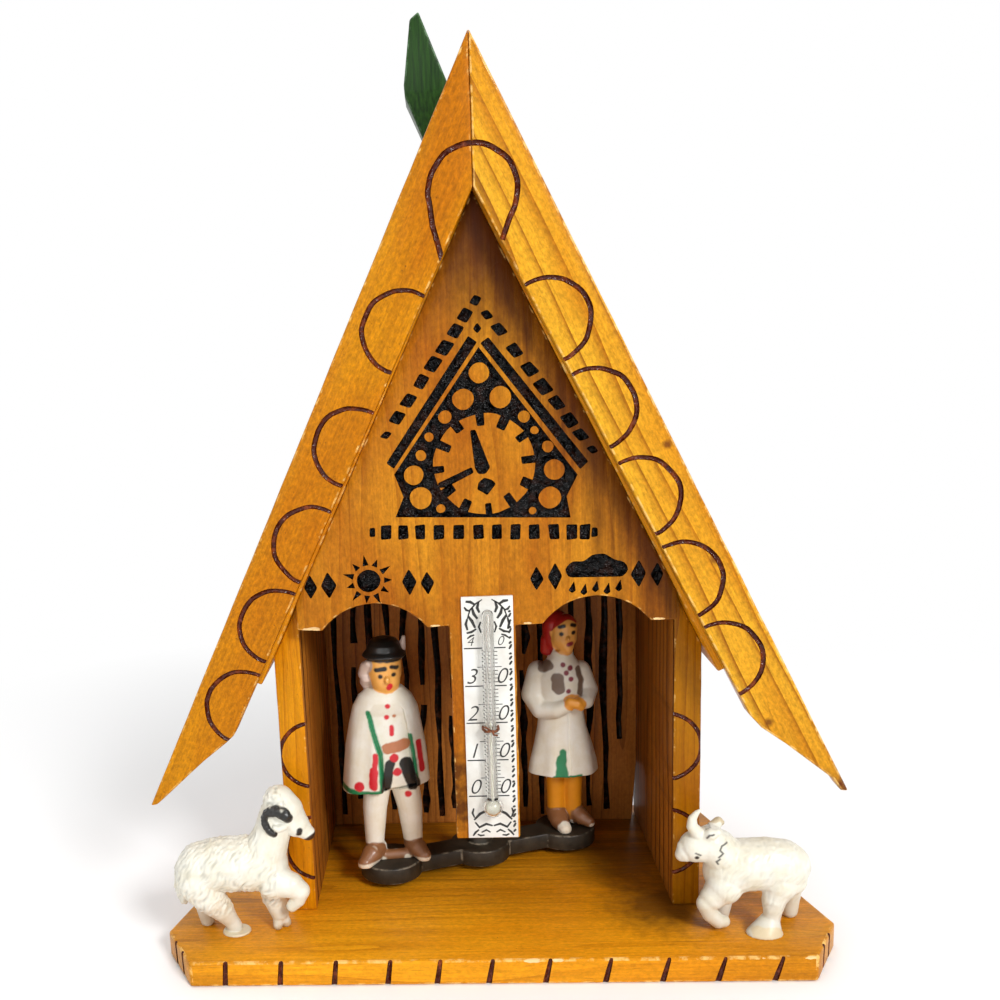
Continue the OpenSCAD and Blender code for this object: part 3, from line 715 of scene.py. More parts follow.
def makeWall(side, node, plan):
    low, high = (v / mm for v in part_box(node))
    inner, outer = (low.x, high.x) if side > 0 else (high.x, low.x)
    shortTop = high.z - roofSlope * abs(outer - inner)
    outline = [(inner, low.y, low.z), (outer, low.y, low.z), (outer, low.y, shortTop), (inner, low.y, high.z)]
    outline = [Vector((p.x, low.y, p.z)) for p in handSawn(outline)]
    finish = boardFinish["leftWall" if side < 0 else "shadedRightWall"]
    obj = board(node + "_pine", outline, (0, high.y - low.y, 0), finish)
    cuts = bmesh.new()
    start, stop = (60, 300) if side < 0 else (-120, 120)
    for z in plan["arcs"]:
        points = arcPoints((side * plan["arcX"], z), plan["arcRadius"], start, stop, 20, low.y)
        tubeAlong(cuts, points, plan["groove"])
    carve(obj, cuts, burntBrown)
    markFaces(obj, boardFinish["inner"], lambda p: p.normal.x * side < -0.9)
    settle(obj, "house", "varnished_pine", node)


makeWall(-1, "left_wall", wallPlan)
makeWall(1, "right_wall", wallPlan)

backPlan = {
    "slitWidth": 1.1,
    "slitHeight": 15.0,
    "strokes": [(-34.6, 8, 70), (-30.4, 12, 46), (-30.0, 52, 74), (-26.2, 7, 76), (-22.2, 9, 40),
                (-21.8, 46, 78), (-18.0, 7, 80), (-14.2, 8, 36), (-13.6, 41, 78), (-10.4, 7, 82),
                (-7.0, 9, 33), (-1.4, 8, 70), (2.6, 7, 48), (3.0, 53, 80), (6.4, 8, 78), (10.2, 9, 44),
                (10.6, 48, 80), (14.4, 7, 76), (18.2, 8, 50), (18.0, 55, 76), (21.8, 7, 74),
                (25.6, 9, 38), (25.9, 43, 74), (29.4, 8, 72), (33.0, 26, 70)],
    "window": (-4.6, 42.5, 2.6, 5.0),  # centre x and z, half sizes
}


def makeBack(plan):
    low, high = (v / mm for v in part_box("back_wall"))
    side = high.z - roofSlope * high.x
    outline = [(low.x, low.y, low.z), (high.x - plan["slitWidth"], low.y, low.z),
               (high.x, low.y, low.z + plan["slitHeight"]), (high.x, low.y, side), (0, low.y, high.z),
               (low.x, low.y, side)]
    outline = [Vector(p) for p in outline]
    obj = board("back_wall_pine", outline, (0, high.y - low.y, 0), boardFinish["back"], 0.3)
    cuts = bmesh.new()
    for x, z0, z1 in plan["strokes"]:
        points, radii = [], []
        for i in range(9):
            z = z0 + (z1 - z0) * i / 8
            points.append((x + 0.9 * noise.noise(Vector((x, 0, z * 0.12))), low.y - 0.2, z))
            radii.append(0.8 + 0.6 * noise.noise(Vector((x * 3, 7, z * 0.22))))
        tubeAlong(cuts, points, radii)
    carve(obj, cuts, burntStroke, True)
    x, z, halfW, halfH = plan["window"]
    frameCut = bmesh.new()
    slab(frameCut, [(x - halfW, low.y - 1, z - halfH), (x + halfW, low.y - 1, z - halfH),
                    (x + halfW, low.y - 1, z + halfH), (x - halfW, low.y - 1, z + halfH)], (0, 1.5, 0))
    carve(obj, frameCut, burntStroke)
    settle(obj, "house", "dark_pine", "back_wall")


makeBack(backPlan)


# gable panel with its burnt ornament

panelPlan = {
    "lowerEdge": 67.0,
    "arch": (21.5, 20.6, 5.2),  # distance from the middle, width, rise
    "tongue": (-6.9, 5.9, 22.6),  # left, right, lower end
    "half": 36.8,
    "depth": 0.7,  # of the burnt recesses
    "chips": [(-34.0, 0.8), (-30.6, 0.4), (-9.6, 0.5), (8.4, 0.4), (33.4, 0.5)],  # on the lower edge
}

ornamentPlan = {
    "apex": (0.35, 120.1),
    "leftEave": (-16.3, 97.2),
    "rightEave": (18.2, 95.7),
    "leftWaist": (-14.7, 92.8),
    "rightWaist": (16.1, 91.7),
    "leftFoot": (-16.4, 89.0),
    "rightFoot": (16.8, 87.6),
    "dial": (0.8, 98.4, 9.5),
    "dots": [(0.3, 115.4, 1.9), (-2.8, 110.7, 2.0), (4.1, 110.8, 2.0), (-6.3, 107.6, 1.25),
             (8.4, 107.0, 1.1), (-9.4, 104.0, 0.85), (10.3, 104.4, 0.75), (-11.1, 100.6, 1.0),
             (12.7, 101.2, 1.1), (-12.6, 96.9, 1.85), (13.9, 96.8, 1.95), (-11.4, 92.5, 2.1),
             (13.0, 91.6, 2.1), (-7.7, 90.3, 0.85), (9.6, 89.2, 0.7)],
    "leftRail": [(-1.5, 122.2), (0.1, 121.0), (-16.3, 98.3), (-17.7, 99.4)],
    "rightRail": [(0.7, 120.8), (2.2, 121.8), (20.2, 98.1), (18.7, 96.7)],
    "leftTeeth": [(0.1, 128.5), (-1.9, 126.0), (-3.8, 123.3), (-5.9, 120.3), (-8.2, 117.4), (-10.5, 114.3),
                  (-13.0, 110.9), (-15.3, 107.8), (-17.5, 104.7)],
    "rightTeeth": [(2.0, 125.9), (4.2, 123.0), (7.0, 119.2), (9.6, 115.7), (12.1, 112.3), (14.5, 109.2),
                   (16.8, 106.0), (18.8, 103.1), (21.0, 100.3)],
    "topMark": [(-0.6, 123.4), (0.2, 122.5), (1.0, 123.4), (0.2, 124.5)],
    "hands": [
        [(-1.7, 104.9), (-0.7, 105.0), (1.3, 99.4), (1.9, 97.8), (1.0, 96.6), (-0.4, 96.6), (-1.0, 97.8)],
        [(-1.6, 98.0), (-1.2, 96.9), (-6.6, 94.3), (-7.9, 94.3), (-8.1, 95.2)],
        [(0.7, 95.9), (2.2, 95.4), (2.9, 94.6), (1.9, 93.4), (1.2, 92.5), (0.2, 93.2), (-0.7, 93.7),
         (-0.4, 95.0)],
    ],
    "tooth": (1.42, 1.15),  # half length along the slope and half width
    "row": [-20.9, -18.3, -15.1, -11.8, -8.2, -4.4, -0.7, 2.8, 6.3, 9.9, 13.6, 17.0, 19.4, 21.3],
    "rowHeight": (86.3, 84.6),  # at the left and the right end
    "brick": (0.98, 1.42),
}


def ringOf(centre, radius, y, sides):
    turns = [2 * math.pi * i / sides for i in range(sides)]
    return [(centre[0] + radius * math.cos(a), y, centre[1] + radius * math.sin(a)) for a in turns]


def uneven(points, amount=0.14, scale=0.5):
    # an outline drawn by hand with a hot point
    out = []
    for p in points:
        shake = noise.noise_vector(Vector(p) * scale) * amount
        out.append((p[0] + shake.x, p[1], p[2] + shake.z))
    return out


def softMark(bm, points, lift, corner=0.3):
    # one burnt mark: an outline with rounded corners, as a cutting block
    points = [Vector(p) for p in points]
    rounded = []
    for before, p, after in zip(points[-1:] + points, points, points[1:] + points[:1]):
        back, ahead = before - p, after - p
        a = p + back * min(0.4, corner / back.length)
        b = p + ahead * min(0.4, corner / ahead.length)
        rounded += [a, (a + 2 * p + b) / 4, b]
    slab(bm, rounded, lift)


def makePanel(plan, ornament):
    low, high = (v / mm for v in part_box("gable_panel"))
    archX, archW, archH = plan["arch"]
    left, right, foot = plan["tongue"]
    radius = (archW * archW / 4 + archH * archH) / (2 * archH)
    z0, half = plan["lowerEdge"], plan["half"]
    span = math.degrees(math.asin(archW / 2 / radius))

    def arch(side):
        centre = (side * archX, z0 + archH - radius)
        return [Vector((p.x, low.y, p.z)) for p in
                arcPoints(centre, radius, 90 + span, 90 - span, 14, low.y, 0.1)]

    sideTop = high.z - roofSlope * half
    outline = [(-half, low.y, z0 + 0.3), *arch(-1), (left, low.y, z0 + 0.2), (left, low.y, foot),
               (right, low.y, foot), (right, low.y, z0 - 0.1), *arch(1), (half, low.y, z0),
               (half, low.y, sideTop), (0, low.y, high.z), (-half, low.y, sideTop)]
    outline = [Vector((p.x, low.y, p.z)) for p in handSawn([Vector(p) for p in outline], 3.0, 0.1)]
    for p in outline:
        if abs(p.x - right) < 0.6 and foot + 1 < p.z < z0 - 1:
            p.x += 0.3 * noise.noise(Vector((0, 3, p.z * 0.9)))
    obj = board("gable_panel_pine", outline, (0, high.y - low.y, 0), boardFinish["panel"], 0.35)
    for x, size in plan["chips"]:
        chipOff(obj, (x, low.y - 0.15, z0 + 0.15), size)

    y, lift = low.y - 1, (0, 1 + plan["depth"], 0)
    marks = bmesh.new()
    halfLong, halfWide = ornament["tooth"]
    for side, lean in (("leftTeeth", -1), ("rightTeeth", 1)):
        along = Vector((0.6 * lean, 0, -0.8))
        across = Vector((0.92, 0, 0.38 * lean))
        for i, (x, z) in enumerate(ornament[side]):
            fromEnd = min(i, len(ornament[side]) - 1 - i)
            size = 0.66 + 0.16 * min(fromEnd, 2) + 0.06 * math.sin(i * 2.1)
            middle = Vector((x, y, z))
            long, wide = along * halfLong * size, across * halfWide * size
            softMark(marks, uneven([middle - long - wide, middle - long + wide, middle + long + wide,
                                    middle + long - wide], 0.3), lift, 0.4)
    softMark(marks, uneven([(x, y, z) for x, z in ornament["topMark"]]), lift, 0.3)
    for rail in ("leftRail", "rightRail"):
        softMark(marks, [(x, y, z) for x, z in ornament[rail]], lift, 0.25)
    halfX, halfZ = ornament["brick"]
    leftZ, rightZ = ornament["rowHeight"]
    row = ornament["row"]
    for i, x in enumerate(row):
        z = leftZ + (rightZ - leftZ) * i / (len(row) - 1)
        size = 0.62 if i in (0, len(row) - 1) else 1.0
        brick = [(x - halfX * size, y, z - halfZ * size), (x + halfX * size, y, z - halfZ * size),
                 (x + halfX * size, y, z + halfZ * size), (x - halfX * size, y, z + halfZ * size)]
        softMark(marks, uneven(brick, 0.25), lift, 0.3)
    weatherMarks(marks, y, lift)
    carve(obj, marks, burntBlack, True)
    carve(obj, gableShape(ornament, y, lift), burntBlack)
    carve(obj, clockMarks(ornament, y, lift), burntBlack, True)
    settle(obj, "house", "varnished_pine", "gable_panel")


def gableShape(ornament, y, lift):
    # the burnt field with its pale dots and its pale dial left standing
    corners = ["apex", "rightEave", "rightWaist", "rightFoot", "leftFoot", "leftWaist", "leftEave"]
    field = bmesh.new()
    slab(field, [(ornament[c][0], y, ornament[c][1]) for c in corners], lift)
    bmesh.ops.recalc_face_normals(field, faces=field.faces)
    solid = meshObject("field", field, burntBlack)
    holes = bmesh.new()
    for x, z, radius in ornament["dots"]:
        slab(holes, uneven(ringOf((x, z), radius, y - 1, 20)), (0, lift[1] + 2, 0))
    carve(solid, holes, burntBlack)
    holes = bmesh.new()
    x, z, radius = ornament["dial"]
    slab(holes, uneven(ringOf((x, z), radius, y - 1, 48), 0.25, 0.3), (0, lift[1] + 2, 0))
    carve(solid, holes, burntBlack)
    made = bmesh.new()
    made.from_mesh(solid.data)
    bpy.data.objects.remove(solid)
    return made


def clockMarks(ornament, y, lift):
    # twelve blocks round the dial, the hands and their hub
    x0, z0, radius = ornament["dial"]
    marks = bmesh.new()
    for hour in range(12):
        a = math.radians(90 - 30 * hour + 4)
        out = Vector((math.cos(a), 0, math.sin(a)))
        across = Vector((-math.sin(a), 0, math.cos(a)))
        near, far = radius - 2.2 - 0.35 * math.sin(hour * 2.7), radius + 0.35
        half = 0.74 + 0.14 * math.sin(hour * 1.9)
        middle = Vector((x0, y, z0))
        block = [middle + out * near - across * half, middle + out * far - across * half * 1.15,
                 middle + out * far + across * half * 1.15, middle + out * near + across * half]
        softMark(marks, uneven([tuple(p) for p in block]), lift, 0.25)
    for hand in ornament["hands"]:
        softMark(marks, [(x, y, z) for x, z in hand], lift, 0.3)
    return marks


weatherPlan = {
    "sun": (-22.2, 76.8),
    "sunRadius": 2.3,
    "rays": 11,
    "cloud": (21.6, 76.9),
    "cloudShape": [(-5.4, -0.9), (5.0, -1.1), (6.1, 0.3), (5.3, 1.8), (3.3, 2.3), (1.5, 3.6),
                   (-0.9, 3.4), (-2.4, 2.1), (-4.6, 2.3), (-6.1, 0.8)],
    "drops": [-4.6, -2.4, -0.2, 2.0, 4.2],
    "lozenges": [(7.9, 1.5), (11.4, 1.35)],  # distance from the middle and size
}


def weatherMarks(marks, y, lift, plan=weatherPlan):
    # a sun over the fair-weather door, a cloud with drops over the other, lozenges beside both
    x, z = plan["sun"]
    radius = plan["sunRadius"]
    slab(marks, uneven(ringOf((x, z), radius, y, 18)), lift)
    middle = Vector((x, y, z))
    for i in range(plan["rays"]):
        a = 2 * math.pi * i / plan["rays"]
        out, across = Vector((math.cos(a), 0, math.sin(a))), Vector((-math.sin(a), 0, math.cos(a)))
        length = 2.3 + 0.6 * (i % 2)
        softMark(marks, [middle + out * (radius + 0.7) - across * 0.6, middle + out * (radius + length),
                         middle + out * (radius + 0.7) + across * 0.6], lift, 0.12)
    x, z = plan["cloud"]
    softMark(marks, [(x + a, y, z + b) for a, b in plan["cloudShape"]], lift, 0.7)
    for i, drop in enumerate(plan["drops"]):
        cx, cz = x + drop, z - 2.9 - 0.5 * (i % 2)
        softMark(marks, [(cx + 0.3, y, cz + 1.3), (cx - 0.8, y, cz - 0.5), (cx - 0.1, y, cz - 1.1),
                         (cx + 0.6, y, cz - 0.6)], lift, 0.2)
    for place in ("sun", "cloud"):
        for away, size in plan["lozenges"]:
            for side in (-1, 1):
                cx, cz = plan[place][0] + side * away, plan[place][1] - 0.08 * away
                softMark(marks, uneven([(cx - size, y, cz), (cx, y, cz - 1.8 * size), (cx + size, y, cz),
                                        (cx, y, cz + 1.8 * size)], 0.25), lift, 0.4)


makePanel(panelPlan, ornamentPlan)


# roof boards and bargeboards

roofPlan = {
    "ridgeUnder": 147.7,
    "left": [123.3, 102.9, 84.9, 69.2, 53.3],  # heights of the burnt scallops
    "right": [124.2, 108.0, 91.5, 75.6, 60.0],
    "scallopRadius": 7.4,
    "scallopIn": 1.3,
    "groove": 0.46,
    "leftBend": [(56.6, 42.3), (51.8, 46.0), (50.0, 47.6), (48.1, 51.4)],  # lower edge beside the tail
    "rightBend": [(56.6, 42.9), (51.8, 46.4), (49.6, 48.9), (48.1, 51.9)],
    "crown": (0.0, 147.0, 7.9),  # centre and radius of the loop under the ridge
    "leftLoop": [(-7.3, 141.5), (-6.4, 138.0), (-5.6, 134.6)],  # how the loop ends
    "rightLoop": [(4.9, 138.4)],
}


def makeRoofBoard(side, node):
    low, high = (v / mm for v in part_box(node))
    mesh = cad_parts[node].data
    corners = sorted({(round(v.co.x / mm, 2), round(v.co.z / mm, 2)) for v in mesh.vertices
                      if v.co.y / mm < low.y + 0.01})
    middle = Vector((sum(c[0] for c in corners), sum(c[1] for c in corners))) / len(corners)
    corners.sort(key=lambda c: math.atan2(c[1] - middle.y, c[0] - middle.x))
    outline = handSawn([(x, low.y, z) for x, z in corners], 8, 0.0)
    finish = boardFinish["rightRoof" if side > 0 else "leftRoof"]
    obj = board(node + "_pine", outline, (0, high.y - low.y, 0), finish, 0.4)
    settle(obj, "house", "varnished_pine", node)


def makeBarge(side, node, heights, plan):
    low, high = (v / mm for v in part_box(node))
    under, over = plan["ridgeUnder"], high.z
    tip = (over - low.z) / roofSlope
    tail = [(tip - 0.2, low.z), (tip - 1.6, low.z + 0.1), (tip - 3.2, low.z + 2.6)]
    bend = plan["rightBend"]
    if side < 0:
        tail = [(tip - 0.5, low.z), (tip - 1.8, low.z + 0.2)]
        bend = plan["leftBend"]
    outline = [(0.03, under), (0.03, over), *tail, *bend]
    outline = [(side * x, low.y, z) for x, z in outline]
    outline = [Vector((p.x, low.y, p.z)) for p in handSawn([Vector(p) for p in outline], 5, 0.09)]
    obj = board(node + "_pine", outline, (0, high.y - low.y, 0),
                boardFinish["rightBarge" if side > 0 else "leftBarge"], 0.4)
    cuts = bmesh.new()
    for z in heights:
        x = (under - z) / roofSlope + plan["scallopIn"] / math.cos(math.radians(roofAngle))
        if side > 0:
            points = arcPoints((x, z), plan["scallopRadius"], 165, -125, 44, low.y, 0.22)
        else:
            points = arcPoints((-x, z), plan["scallopRadius"], 15, 305, 44, low.y, 0.22)
        count = len(points)
        radii = [plan["groove"] * (0.6 + 0.5 * math.sin(math.pi * i / count)) for i in range(count)]
        tubeAlong(cuts, points, radii, 12)
    carve(obj, cuts, burntBrown)
    x, z, radius = plan["crown"]
    crown = bmesh.new()
    if side > 0:
        path = arcPoints((x, z), radius, 100, -36, 18, low.y, 0.3)
    else:
        path = arcPoints((x, z), radius, 80, 190, 16, low.y, 0.3)
    path += [(a, low.y, b) for a, b in plan["rightLoop" if side > 0 else "leftLoop"]]
    tubeAlong(crown, path, plan["groove"] * 1.15, 12)
    carve(obj, crown, burntBrown)
    settle(obj, "house", "varnished_pine", node)


makeRoofBoard(-1, "left_roof_board")
makeRoofBoard(1, "right_roof_board")
makeBarge(-1, "left_bargeboard", roofPlan["left"], roofPlan)
makeBarge(1, "right_bargeboard", roofPlan["right"], roofPlan)


# pieces that keep the solid's shape: rounded edges only

def dressed(node, name, finish, body, slot, edge, least=0.5):
    bm = bmesh.new()
    bm.from_mesh(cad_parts[node].data)
    bmesh.ops.remove_doubles(bm, verts=bm.verts, dist=0.002 * mm)
    bmesh.ops.dissolve_limit(bm, angle_limit=math.radians(1.5), verts=bm.verts, edges=bm.edges)
    roundEdges(bm, edge, least)
    settle(meshObject(name, bm, finish), body, slot, node)


dressed("chimney", "chimney_block", greenPaint, "house", "green_paint", 0.35)
dressed("gut_beam", "gut_beam_bar", boardFinish["rod"], "house", "dark_pine", 0.3)
dressed("gut_peg", "gut_peg_turned", boardFinish["rod"], "house", "dark_pine", 0.15)
dressed("turntable", "turntable_plate", greyPlastic, "swing", "grey_plastic", 0.3)
dressed("turntable_stem", "turntable_stem_rod", boardFinish["rod"], "swing", "dark_pine", 0.1)


# gut: two strands twisted round each other

gutPlan = {"strand": 0.24, "pitch": 2.4, "steps": 12}


def makeGut(plan):
    low, high = (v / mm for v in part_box("gut_cord"))
    x, y = (low.x + high.x) / 2, (low.y + high.y) / 2
    count = round((high.z - low.z) / plan["pitch"] * plan["steps"])
    bm = bmesh.new()
    for start in (0, math.pi):
        points = []
        for i in range(count + 1):
            a = start + 2 * math.pi * i / plan["steps"]
            z = low.z + (high.z - low.z) * i / count
            points.append((x + plan["strand"] * math.cos(a), y + plan["strand"] * math.sin(a), z))
        tubeAlong(bm, points, plan["strand"])
    bmesh.ops.recalc_face_normals(bm, faces=bm.faces)
    settle(meshObject("gut_twist", bm, driedGut), "swing", "gut", "gut_cord")


makeGut(gutPlan)


# thermometer

thermoPlan = {
    "marks": [(40, 62.7), (30, 55.0), (20, 47.4), (10, 39.6), (0, 32.0)],  # reading and height
    "digit": 4.5,
    "ink": 0.03,
    "tube": (1.1, 0.28),  # outer and inner radius
    "bulb": (2.05, 1.6),
    "cap": 1.0,  # glass above the bore
    "play": 0.03,  # between the spirit and the bore
    "spiritTop": 48.0,
    "headLeaves": [(0.34, (0.9, -0.6), (2.2, -1.4), (3.3, -2.6), (3.9, -4.4)),
                   (0.6, (1.6, -1.0), (1.9, -2.2), (1.5, -3.2)),
                   (0.6, (2.4, -1.5), (3.2, -1.0), (4.1, -0.9)),
                   (0.62, (2.9, -2.2), (2.6, -3.4), (1.9, -4.4)),
                   (0.45, (3.4, -2.8), (4.0, -2.6), (4.4, -2.0)),
                   (0.62, (3.7, -3.8), (3.0, -4.8), (2.4, -6.2)),
                   (0.55, (3.9, -4.4), (4.2, -5.4), (3.9, -6.6)),
                   (0.5, (2.2, -6.4), (3.1, -7.0), (4.1, -7.2)),
                   (0.42, (1.3, -5.0), (1.7, -6.0), (1.3, -7.2)),
                   (0.4, (2.6, -7.6), (3.3, -7.8), (4.0, -8.3))],
    "footLeaves": [(0.6, (0.1, 5.0), (1.2, 5.9), (2.6, 5.2), (3.8, 3.9)),
                   (0.55, (0.1, 2.6), (1.4, 3.0), (2.8, 2.3), (3.6, 3.4)),
                   (0.4, (0.6, 1.2), (1.4, 1.7), (2.4, 1.2)), (0.45, (2.9, 1.8), (3.6, 1.2), (4.1, 0.5)),
                   (0.4, (1.8, 0.6), (2.6, 0.5), (3.2, 0.8)), (0.45, (3.7, 4.4), (4.1, 5.4), (3.8, 6.4))],
}


def makeCard():
    low, high = (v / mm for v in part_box("thermometer_card"))
    bm = bmesh.new()
    slab(bm, [(low.x, low.y, low.z), (high.x, low.y, low.z), (high.x, low.y, high.z), (low.x, low.y, high.z)],
         (0, high.y - low.y, 0))
    roundEdges(bm, 0.1)
    obj = meshObject("thermometer_card_print", bm, whiteCard)
    cut = bmesh.new()
    tubeLow, tubeHigh = (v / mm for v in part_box("thermometer_tube"))
    radius = (tubeHigh.x - tubeLow.x) / 2
    ahead = low.y - (tubeLow.y + tubeHigh.y) / 2
    hole = math.sqrt(radius * radius - ahead * ahead)
    slab(cut, ringOf(((tubeLow.x + tubeHigh.x) / 2, tubeLow.z + radius), hole + 0.03, low.y - 1, 40),
         (0, high.y - low.y + 2, 0))
    carve(obj, cut, whiteCard)
    settle(obj, "house", "card", "thermometer_card")


def inkBar(bm, x0, x1, z, thick, y, slope=0.0):
    slab(bm, [(x0, y, z - thick / 2), (x1, y, z - thick / 2 + slope), (x1, y, z + thick / 2 + slope),
              (x0, y, z + thick / 2)], (0, -thermoPlan["ink"], 0))


def inkStroke(bm, points, width, y):
    # a pen stroke: a flat ribbon along the points
    points = [Vector(p) for p in points]
    sideA, sideB = [], []
    for i, p in enumerate(points):
        ahead = points[min(i + 1, len(points) - 1)] - points[max(i - 1, 0)]
        across = Vector((-ahead.y, ahead.x)).normalized()
        half = width * (0.25 + 0.75 * math.sin(math.pi * (i + 0.6) / (len(points) + 0.2))) / 2
        sideA.append(p + across * half)
        sideB.append(p - across * half)
    slab(bm, [(p.x, y, p.y) for p in sideA + sideB[::-1]], (0, -thermoPlan["ink"], 0))


def addDigits(bm, text, x, z, size, y):
    curve = bpy.data.curves.new("digit", "FONT")
    curve.body = text
    curve.size = size * mm
    curve.shear = 0.3
    curve.align_x = "CENTER"
    curve.offset = -0.012 * size * mm
    curve.extrude = thermoPlan["ink"] / 2 * mm
    obj = bpy.data.objects.new("digit", curve)
    scene.collection.objects.link(obj)
    depsgraph = bpy.context.evaluated_depsgraph_get()
    mesh = bpy.data.meshes.new_from_object(obj.evaluated_get(depsgraph))
    place = Vector((x, y - thermoPlan["ink"] / 2, z)) * mm
    mesh.transform(Matrix.Translation(place) @ Matrix.Rotation(math.pi / 2, 4, "X"))
    bm.from_mesh(mesh)
    bpy.data.objects.remove(obj)
    bpy.data.meshes.remove(mesh)


def makePrint(plan):
    low, high = (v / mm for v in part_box("thermometer_card"))
    x, y = (low.x + high.x) / 2, low.y
    bm = bmesh.new()
    for value, z in plan["marks"]:
        small = value == 40
        inkBar(bm, low.x + 0.3, x - 1.1, z, 0.24, y)
        inkBar(bm, x + 0.8, high.x - 1.6, z, 0.24, y)
        size = plan["digit"] * (0.6 if small else 1.0)
        addDigits(bm, str(value // 10), low.x + 1.45, z + 0.5, size, y)
        addDigits(bm, "0", high.x - 2.7, z + 0.5, size, y)
    step = (plan["marks"][0][1] - plan["marks"][-1][1]) / 40
    for i in range(1, 40):
        z = plan["marks"][-1][1] + i * step
        if i % 10 == 0:
            continue
        length = 1.5 if i % 5 == 0 else 0.75
        inkBar(bm, x + 0.75, x + 1.0 + length, z, 0.15, y)
        if i % 5 == 0:
            inkBar(bm, x - 2.2, x - 0.9, z, 0.15, y)
        inkBar(bm, x - 1.3, x - 0.1, z + 0.4, 0.18, y, -0.36)
        inkBar(bm, x + 0.1, x + 1.1, z, 0.17, y, 0.16)
    for i in range(44):  # broken line down the right border
        z = low.z + 1.2 + i * 1.06
        tilt = 0.45 * math.sin(i * 2.3)
        dash = [(high.x - 0.95, z), (high.x - 0.7, z + 0.3 + tilt * 0.3), (high.x - 0.45, z + 0.55 + tilt)]
        inkStroke(bm, dash, 0.46, y)
    for side in (-1, 1):
        for end, leaves in ((high.z, plan["headLeaves"]), (low.z, plan["footLeaves"])):
            for width, *points in leaves:
                inkStroke(bm, [(x + side * a, end + b) for a, b in points], width, y)
    bmesh.ops.recalc_face_normals(bm, faces=bm.faces)
    settle(meshObject("thermometer_print", bm, printInk), "house", "card")


def turnedGlass(place, bulb, stem, top):
    # a profile spun about the tube's axis
    x, y, z = place
    joint = math.sqrt(bulb * bulb - stem * stem)
    profile = [(bulb * math.sin(a), -bulb * math.cos(a)) for a in
               [math.acos(-joint / bulb) * i / 22 for i in range(23)]]
    profile += [(stem, top - z - stem)]
    for i in range(1, 9):
        a = math.pi / 2 * i / 8
        profile.append((stem * math.cos(a), top - z - stem + stem * math.sin(a)))
    bm = bmesh.new()
    verts = [bm.verts.new(Vector((x + max(r, 0), y, z + h)) * mm) for r, h in profile]
    edges = [bm.edges.new(pair) for pair in zip(verts, verts[1:])]
    bmesh.ops.spin(bm, geom=verts + edges, cent=Vector((x, y, z)) * mm, axis=(0, 0, 1), angle=2 * math.pi,
                   steps=40, use_merge=True, use_duplicate=False)
    bmesh.ops.remove_doubles(bm, verts=bm.verts, dist=0.004 * mm)
    bmesh.ops.recalc_face_normals(bm, faces=bm.faces)
    return bm


def makeTube(plan):
    low, high = (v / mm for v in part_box("thermometer_tube"))
    outerBulb, bore = plan["bulb"][0], (plan["bulb"][1], plan["tube"][1])
    place = ((low.x + high.x) / 2, (low.y + high.y) / 2, low.z + outerBulb)
    outer = turnedGlass(place, outerBulb, plan["tube"][0], high.z)
    inner = turnedGlass(place, *bore, high.z - plan["cap"])
    bmesh.ops.reverse_faces(inner, faces=inner.faces)
    spare = bpy.data.meshes.new("bore")
    inner.to_mesh(spare)
    inner.free()
    outer.from_mesh(spare)
    bpy.data.meshes.remove(spare)
    settle(meshObject("thermometer_tube_glass", outer, tubeGlass), "house", "glass", "thermometer_tube")
    fill = turnedGlass(place, *(radius - plan["play"] for radius in bore), plan["spiritTop"])
    settle(meshObject("spirit_thread", fill, paleSpirit), "house", "spirit", "spirit_column")


def makeStaple():
    low, high = (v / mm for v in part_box("tube_staple"))
    x, z = (low.x + high.x) / 2, (low.z + high.z) / 2
    thick = (high.z - low.z) / 2
    reach = (high.x - low.x) / 2 - thick
    centre = low.y + thick + reach
    points = [(x - reach, high.y, z)]
    for i in range(13):
        a = math.pi * i / 12
        wave = 0.12 * math.sin(a * 5)
        points.append((x - reach * math.cos(a), centre - reach * math.sin(a), z + wave))
    points.append((x + reach, high.y, z))
    bm = bmesh.new()
    tubeAlong(bm, points, thick * 0.92, 10)
    for turn in (-1, 1):  # the wire's twisted ends
        ends = [(x + turn * 0.2, low.y + 0.3, z + 0.3), (x + turn * 0.5, low.y + 0.1, z - 0.6 * turn),
                (x + turn * 1.2, low.y + 0.5, z - 0.9 * turn)]
        tubeAlong(bm, ends, thick * 0.7, 8)
    bmesh.ops.recalc_face_normals(bm, faces=bm.faces)
    settle(meshObject("tube_staple_wire", bm, rustyWire), "house", "rusty_wire", "tube_staple")


makeCard()
makePrint(thermoPlan)
makeTube(thermoPlan)
makeStaple()


# moulded figures: rough volumes, joined, smoothed and painted

def ball(bm, place, radii):
    made = bmesh.ops.create_uvsphere(bm, u_segments=24, v_segments=14, radius=mm)["verts"]
    bmesh.ops.scale(bm, vec=Vector(radii), verts=made)
    bmesh.ops.translate(bm, vec=Vector(place) * mm, verts=made)


def limb(bm, balls):
    # a tapering limb through (x, y, z, radius)
    for x, y, z, r in balls:
        ball(bm, (x, y, z), (r, r, r))
    for a, b in zip(balls, balls[1:]):
        tubeAlong(bm, [a[:3], b[:3]], [a[3], b[3]], 20)


def column(bm, sections, sides=40):
    # a body through oval sections (height, x, y, half width, half depth)
    rings = []
    for z, x, y, halfX, halfY in sections:
        ring = []
        for k in range(sides):
            a = 2 * math.pi * k / sides
            ring.append(bm.verts.new(Vector((x + halfX * math.cos(a), y + halfY * math.sin(a), z)) * mm))
        rings.append(ring)
    skinRings(bm, rings)


